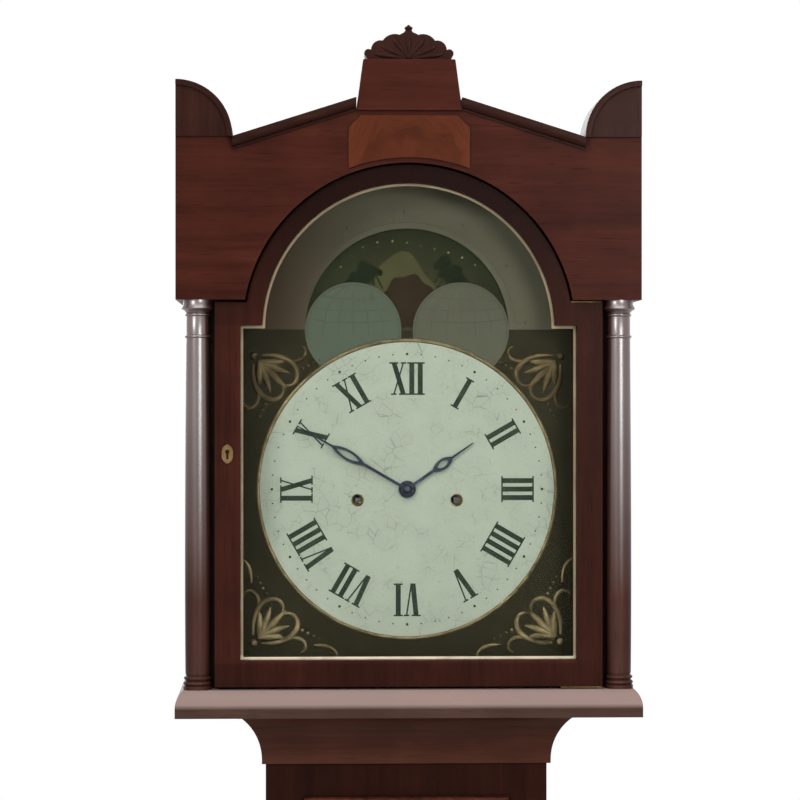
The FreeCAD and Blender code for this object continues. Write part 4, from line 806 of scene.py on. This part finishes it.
def gesso(name, strokes, front, material, body):
    """Half-round raised strokes of (x, z, half width) points on the plane y = front."""
    section = arc(0, 180, 6)
    width = len(section)
    points = []
    faces = []
    for stroke in strokes:
        start = len(points)
        for k, (x, z, half) in enumerate(stroke):
            before = stroke[max(k - 1, 0)]
            after = stroke[min(k + 1, len(stroke) - 1)]
            along = Vector((after[0] - before[0], after[1] - before[1])).normalized()
            for turn in section:
                aside = half * cos(turn)
                points.append((x - aside * along.y, front - 0.55 * half * sin(turn), z + aside * along.x))
        for row in range(start, len(points) - width, width):
            faces += [(k, k + width, k + width + 1, k + 1) for k in range(row, row + width - 1)]
    return piece(name, mesh_of(name, points, faces), material, body)


def scroll(start, turn, length, curl, half, steps=26):
    """Stroke that sets out at a turn and curls ever tighter, fine at both ends."""
    x, z = start
    turn = radians(turn)
    points = []
    for k in range(steps + 1):
        share = k / steps
        points.append((x, z, half * (0.18 + 0.82 * sin(pi * min(1.0, 0.12 + 0.9 * share)) ** 0.8)))
        turn += radians(curl) * (0.25 + 2.2 * share ** 2) / steps
        x += length / steps * cos(turn)
        z += length / steps * sin(turn)
    return points


def berry(x, z, radius):
    """Domed dot, drawn as a short stroke that swells and closes."""
    return [(x + radius * cos(turn), z, max(radius * sin(turn), 1e-5)) for turn in arc(0, 180, 8)]


def corner_strokes(trailing):
    """One corner's ornament, in metres in from the corner, with trailing ends or without."""
    strokes = [scroll((0.017, 0.017), 45 + 0.75 * lean, 0.04 - 0.00022 * abs(lean), 0.5 * lean, 0.0044)
               for lean in (-52, -27, 0, 27, 52)]
    runs = [scroll((0.02, 0.011), -6, 0.072, 255, 0.0032), scroll((0.04, 0.014), 24, 0.04, -215, 0.0024)]
    if trailing:
        runs.append(scroll((0.074, 0.009), 2, 0.034, -120, 0.0021))
    runs += [berry(0.062 + 0.006 * k, 0.0245 - 0.003 * k, 0.0019 - 0.0003 * k) for k in range(4)]
    mirrored = [[(z, x, half) for x, z, half in stroke] for stroke in runs]
    return strokes + runs + mirrored + [berry(0.0115, 0.0115, 0.0042)]


ring = [polar(dial_middle, disc_radius + 0.0008, turn) + (0.0019,) for turn in arc(0, 360, 160)]
gesso("dial_ring", [ring], dial_front, gilding, "case")
corner_reach = 0.171
upper_reach = 0.15
for row, rise, reach, leaf in (("lower", -1, corner_reach, gilding), ("upper", 1, upper_reach, dim_gilding)):
    ornament = [[(dial_middle.x + right * (corner_reach - x), dial_middle.z + rise * (reach - z), half)
                 for x, z, half in stroke] for right in (-1, 1) for stroke in corner_strokes(rise < 0)]
    gesso(row + "_corner_scrolls", ornament, dial_front, leaf, "case")

# Moon disc: a painted disc that turns behind the arch on a stud, with dusk sky on its upper and lower halves
# and a pale moon on each side.
moon_middle = middle_of("moon_disc")
sky_outer = (0.014, 0.018, 0.007)
sky_inner = (0.042, 0.038, 0.016)


def moon_sky(tree):
    """Sky that lightens from the rim to the middle."""
    return mix(within(tree, moon_middle, 0.0835, 0.0285), sky_outer, sky_inner)


dress("moon_disc", painted("moon_paint", moon_sky, (0.012, 0.011, 0.006), 0.5, 0.2))
on_moon = (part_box("moon_disc")[0].y, "moon", "moon_paint")
hill_paint = painted("hill_paint", (0.06, 0.056, 0.024), (0.034, 0.034, 0.014), 0.6, 0.2)
earth_paint = painted("earth_paint", (0.019, 0.011, 0.0058), (0.032, 0.022, 0.01), 0.6, 0.2)
tree_paint = painted("tree_paint", (0.0055, 0.009, 0.0034), (0.014, 0.02, 0.007), 0.5, 0.2)
star_paint = painted("star_paint", (0.34, 0.26, 0.11), (0.12, 0.09, 0.04), 0.4, 0.2)
moon_cream = painted("moon_cream", (0.42, 0.37, 0.24), (0.22, 0.17, 0.09), 0.5, 0.3)


def line(points, width):
    """Painted line through (x, z) points, as one outline per stretch."""
    outlines = []
    for (x0, z0), (x1, z1) in zip(points, points[1:]):
        aside = Vector((z0 - z1, x1 - x0)) * (width / 2 / hypot(x1 - x0, z1 - z0))
        outlines.append([(x0 - aside.x, z0 - aside.y), (x1 - aside.x, z1 - aside.y),
                         (x1 + aside.x, z1 + aside.y), (x0 + aside.x, z0 + aside.y)])
    return outlines


def on_disc(radius, turn):
    """(x, z) on the moon disc."""
    return polar(moon_middle, radius, turn)


def skyline(upright, half_turn, low, high, ripple):
    """Outline of a rippled hill on the disc, highest in the middle, down to the hub."""
    crest = [on_disc(low + (high - low) * cos(0.5 * pi * share) ** 2 + 0.002 * sin(ripple * share),
                     upright + half_turn * share) for share in [k / 24 for k in range(-24, 25)]]
    return crest + [on_disc(0.012, upright + half_turn * share) for share in (1.0, 0.0, -1.0)]


far_hills = []
near_hills = []
trees = []
stars = []
for upright in (0.0, pi):
    far_hills.append(skyline(upright - 0.1, 0.62, 0.06, 0.09, 9.0))
    near_hills.append(skyline(upright + 0.04, 0.78, 0.05, 0.066, 14.0))
    for side in (-1, 1):
        for k in range(5):
            turn = upright + side * (0.46 + 0.085 * k)
            crown = 0.0062 + 0.0016 * sin(4.0 * k + side)
            foot = 0.071 + 0.004 * sin(3.0 * k + side)
            shoulder = foot + 0.004 + 0.5 * crown
            trees += [dot(on_disc(foot + 0.006 + crown, turn), crown, 16),
                      dot(on_disc(shoulder, turn + 0.06), 0.75 * crown, 14),
                      dot(on_disc(shoulder, turn - 0.055), 0.66 * crown, 14)]
            trees += line([on_disc(foot - 0.01, turn), on_disc(foot + 0.008, turn)], 0.0014)
    for k in range(11):
        x, z = on_disc(0.101 + 0.004 * sin(7.0 * k), upright + 1.5 * (0.1 * k - 0.5))
        reach = 0.0013 + 0.0004 * sin(5.0 * k)
        rays = [(0.4 * reach if j % 2 else reach, pi * j / 4) for j in range(8)]
        stars.append([(x + ray * sin(turn), z + ray * cos(turn)) for ray, turn in rays])
moon_radius = 0.036
moon_aside = 0.066
moons = [dot((moon_middle.x + x, moon_middle.z), moon_radius, 56) for x in (-moon_aside, moon_aside)]
layer("moon_far_hills", far_hills, hill_paint, *on_moon)
layer("moon_near_hills", near_hills, earth_paint, *on_moon, coats=1.1)
layer("moon_trees", trees, tree_paint, *on_moon, coats=1.2)
layer("moon_stars", stars, star_paint, *on_moon)
layer("moon_faces", moons, moon_cream, *on_moon)

# Lunar arch: the fixed pale band over the moon, marked with the days of the lunar month, and the two humps
# that hide the moon, each drawn as a globe with its meridians and parallels.
day_radius = 0.1135
days_reach = 86
lunar_lines = []
for half_day, turn in enumerate(arc(-days_reach, days_reach, 59)):
    tick = 0.0055 if half_day % 2 else 0.0028
    ends = [polar(arch_middle, radius, turn) for radius in (day_radius, day_radius + tick)]
    lunar_lines += line(ends, 0.0007)
    if half_day % 10 == 9:
        lunar_lines.append(dot(polar(arch_middle, day_radius + 0.01, turn), 0.0015))
lunar_edge = [polar(arch_middle, day_radius - 0.001, turn) for turn in arc(-days_reach, days_reach, 72)]
lunar_lines += line(lunar_edge, 0.0006)
globe_lines = []
globe_radius = hump_radius - 0.0022
hair = 0.00045
for globe in humps:
    globe_lines += line([polar(globe, globe_radius, turn) for turn in arc(-100, 100, 48)], 0.0007)
    for share in (-0.66, -0.33, 0.0, 0.33, 0.66):
        meridian = [(globe.x + share * globe_radius * sin(turn),
                     globe.z - 0.006 + (globe_radius + 0.005) * cos(turn)) for turn in arc(10, 90, 12)]
        globe_lines += line(meridian, hair)
    for level in (0.012, 0.024, 0.036):
        half = sqrt(globe_radius ** 2 - level ** 2)
        parallel = [(globe.x + half * share, globe.z + level - 0.004 * (1 - share ** 2))
                    for share in [k / 8 - 1 for k in range(17)]]
        globe_lines += line(parallel, hair)
lunar_paint = painted("lunar_paint", (0.04, 0.044, 0.028), (0.1, 0.095, 0.06), 0.5, 0.2)
layer("lunar_marks", lunar_lines, lunar_paint, *on_dial)
layer("hump_globes", globe_lines, lunar_paint, *on_dial)

# Hands: blued steel, sawn and pierced. The hour hand is pressed on its pipe, and the minute hand is pinned
# over it on the centre arbor.
blued_steel = metal("blued_steel", (0.022, 0.026, 0.04), (0.012, 0.01, 0.009), 0.5, 0.34)
dress("hour_hand minute_hand", blued_steel, thin_edge)

# Hood: mahogany, framed on a wide moulded base and slid on over the trunk. The sides and top are boards, and
# the frieze is sawn to the arch and the pediment out of one wide plank.
hood_colours = ((0.017, 0.0038, 0.0023), (0.069, 0.0172, 0.0102), (0.005, 0.0013, 0.0009))
hood_across = wood("hood_across", along_x, *hood_colours, 1.2, 0.36, 0.035, 0.0001)
hood_upright = wood("hood_upright", along_z, *hood_colours, 1.2, 0.36, 0.06, 0.0001)
dark_colours = ((0.01, 0.003, 0.002), (0.04, 0.0125, 0.0085), (0.004, 0.0013, 0.001))
dark_across = wood("dark_across", along_x, *dark_colours, 1.1, 0.34, 0.05, 0.0001)
dark_upright = wood("dark_upright", along_z, *dark_colours, 1.1, 0.34, 0.05, 0.0001)
base_wood = wood("hood_base_wood", along_x, (0.036, 0.018, 0.013), (0.08, 0.042, 0.031), (0.012, 0.005, 0.004),
                 0.8, 0.36, 0.06, 0.00008)


def by_height(tree, low, high, to_low=0.0, to_high=1.0):
    """Value that changes between two heights over the floor."""
    return remap(axes_of(here(tree))["Z"], low, high, to_low, to_high)


base_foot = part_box("hood_base")[0].z
# Painted highlight: the upper face of the hood base, above a set height, is mixed towards a pale pink.
painted_highlight_share = 0.39
painted_highlight_tone = (0.6, 0.44, 0.4)
painted_highlight = by_height(base_wood.node_tree, base_foot + 0.009, base_foot + 0.014, 0.0, painted_highlight_share)
overlay(base_wood, painted_highlight, painted_highlight_tone)
trim_edge = 0.0005
dress("hood_base", base_wood)
dress("hood_sides", hood_upright, board_edge)
dress("hood_top", pine_across, board_edge)
dress("hood_frieze", hood_across, moulding_edge)
dress("pediment_mouldings", dark_across, trim_edge)
dress("ears cresting_fan", dark_upright, moulding_edge)
dress("cresting_block", hood_across, board_edge)
dress("dial_mask", wood("mask_wood", along_z, *dark_colours, 1.0, 0.55, 0.2, 0.0002), trim_edge)
tablet_veneer = veneered("tablet_veneer", middle_of("frieze_tablet"), (0.2, 0.1, 0.2), 5.0,
                         (0.028, 0.0058, 0.0022), (0.12, 0.029, 0.0095), (0.2, 0.1, 0.05), 0.34, 0.05)
dress("frieze_tablet", tablet_veneer, cast_edge)
fan_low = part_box("cresting_fan")[0]
fan_lobes = 7
rib_half = 0.0046
fan_ribs = []
for lobe in range(fan_lobes):
    turn = pi * (lobe + 0.5) / fan_lobes
    reach_x = 0.0405 * cos(turn)
    reach_z = 0.003 + 0.0235 * sin(turn) ** 1.35
    rib = []
    for k in range(13):
        share = 0.16 + 0.8 * k / 12
        swell = sin(pi * min(1.0, 0.08 + 0.98 * k / 12)) ** 0.6
        rib.append((reach_x * share, fan_low.z + 0.0012 + reach_z * share, rib_half * swell * share))
    fan_ribs.append(rib)
fan_ribs.append(berry(0.0, fan_low.z + 0.0035, 0.0034))
gesso("fan_carving", fan_ribs, fan_low.y, dark_upright, "hood")

# Columns: turned from the solid, with a moulded foot and cap, a slight swell in the shaft and an astragal
# under the cap. They stand free at the front corners between the hood base and the frieze, under a French
# polish that is worn away towards their feet.


def bowed(centre, height, radius, start, end):
    """Arc of a turning's profile about a centre, between two turns in degrees."""
    return [(centre + radius * cos(turn), height + radius * sin(turn)) for turn in arc(start, end, 6)]


ring_low, ring_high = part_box("column_rings")
column_wood = wood("column_wood", along_z, (0.02, 0.0066, 0.0044), (0.075, 0.026, 0.018),
                   (0.005, 0.0016, 0.0012), 1.0, 0.36, 0.12, 0.00006)
polish = by_height(column_wood.node_tree, ring_low.z + 0.09, ring_low.z + 0.3)
feed(shader_of(column_wood), {"Coat Weight": polish, "Coat Roughness": 0.31, "Coat IOR": 2.05})
column_height = ring_high.z - ring_low.z
ring_radius = (ring_high.y - ring_low.y) / 2
shaft_radius = ring_radius - 0.0018
neck_radius = shaft_radius - 0.0012
astragal = column_height - 0.039
column_foot = ([(ring_radius, 0.0), (ring_radius, 0.0035)]
               + bowed(shaft_radius - 0.0005, 0.0065, 0.0022, -70, 80)
               + [(shaft_radius - 0.0006, 0.0092)] + bowed(shaft_radius - 0.0006, 0.0118, 0.0018, -80, 80)
               + [(shaft_radius - 0.001, 0.0142), (shaft_radius - 0.001, 0.0152)])
shaft = [(shaft_radius - 0.0004 + 0.0007 * sin(pi * share ** 0.8) - 0.0007 * share,
          0.0158 + (astragal - 0.018) * share) for share in [k / 16 for k in range(17)]]
column_cap = (bowed(neck_radius - 0.0003, astragal + 0.0016, 0.0018, -80, 80)
              + [(neck_radius, astragal + 0.0038), (neck_radius, column_height - 0.017)]
              + bowed(neck_radius - 0.0004, column_height - 0.0152, 0.0016, -80, 80)
              + [(neck_radius + 0.0002, column_height - 0.013)]
              + bowed(neck_radius + 0.0004, column_height - 0.0052, 0.0058, -75, -15)[:5]
              + [(ring_radius, column_height - 0.0045), (ring_radius, column_height)])
column_axis = ring_high.x - ring_radius
column_profile = column_foot + shaft + column_cap
column_turnings = [(Vector((x, (ring_low.y + ring_high.y) / 2, ring_low.z)), vertical, column_profile)
                   for x in (-column_axis, column_axis)]
columns = lathe("turned_columns", column_turnings, column_wood, "hood")
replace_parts(columns, "columns", "column_rings")

# Hood door: an arched mahogany frame built of stiles, a rail and four curved segments, glazed from behind
# against a gilt bead and hung on pins in two brass straps at its right-hand corners. The head is painted
# darker towards its top, painted shade under the frieze, and the rail and the hinge stile are laid darker.
door_wood = wood("door_wood", along_z, (0.015, 0.0036, 0.0022), (0.06, 0.0155, 0.0092), (0.005, 0.0014, 0.001),
                 1.1, 0.38, 0.04, 0.0001)
door_tree = door_wood.node_tree
bead_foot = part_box("hood_door_bead")[0].z
# Painted shade under the frieze darkens the head towards its top; the rail and hinge stile are laid darker.
head_shade_share = maths("MULTIPLY", by_height(door_tree, arch_middle.z, arch_middle.z + 0.12, 0.25, 0.92),
                   by_height(door_tree, arch_middle.z + 0.0038, arch_middle.z + 0.0042))
rail_share = by_height(door_tree, bead_foot - 0.004, bead_foot - 0.002, 0.36, 0.0)
stile_start = 0.168
stile_share = remap(axes_of(here(door_tree))["X"], stile_start, stile_start + 0.004, 0.0, 0.32)
head_shade_and_dark_parts = maths("MAXIMUM", head_shade_share, rail_share, stile_share)
overlay(door_wood, head_shade_and_dark_parts, (0.006, 0.0012, 0.0006))
joint_edge = 0.00025
dress("hood_door_frame", door_wood, joint_edge)


def bead_gilt_lit_sill(tree):
    """Gilding painted bright along the sill, a painted highlight of light from above, and darker up the sides
    and the arch.
    """
    return mix(by_height(tree, bead_foot + 0.003, bead_foot + 0.006), (0.74, 0.64, 0.49), (0.4, 0.32, 0.21))


dress("hood_door_bead", painted("gilt_bead_lit_sill", bead_gilt_lit_sill, (0.14, 0.095, 0.05), 0.5, 0.3), board_edge)
strap_brass = metal("strap_brass", (0.16, 0.105, 0.045), (0.05, 0.032, 0.014), 0.8, 0.4)
dress("hood_door_straps", strap_brass, thin_edge)
dress("hood_escutcheon", strap_brass, metal_edge)
glass, glass_tree, glass_shader = new_material("old_glass")
glass_spot = here(glass_tree)
waves = noise(glass_spot, 14.0, 1.0, 0.4, 0.0)
ripple = place(glass_tree, "Bump", {"Strength": 0.08, "Distance": 0.0006, "Height": waves})
tint = mix(noise(glass_spot, 6.0, 2.0, 0.5, 0.0), (0.93, 0.97, 0.93), (0.97, 0.98, 0.95))
feed(glass_shader, {"Base Color": tint, "Roughness": 0.02, "Normal": ripple.outputs["Normal"],
                    "Transmission Weight": 1.0, "IOR": 1.08})
glass_ray = place(glass_tree, "LightPath").outputs
lit = maths("MAXIMUM", glass_ray["Is Shadow Ray"], glass_ray["Is Diffuse Ray"])
clear = place(glass_tree, "BsdfTransparent", {"Color": (0.95, 0.97, 0.95)})
mix_shaders(lit, glass_shader, clear, glass_shader.outputs[0].links[0].to_node)
dress("hood_glass", glass)
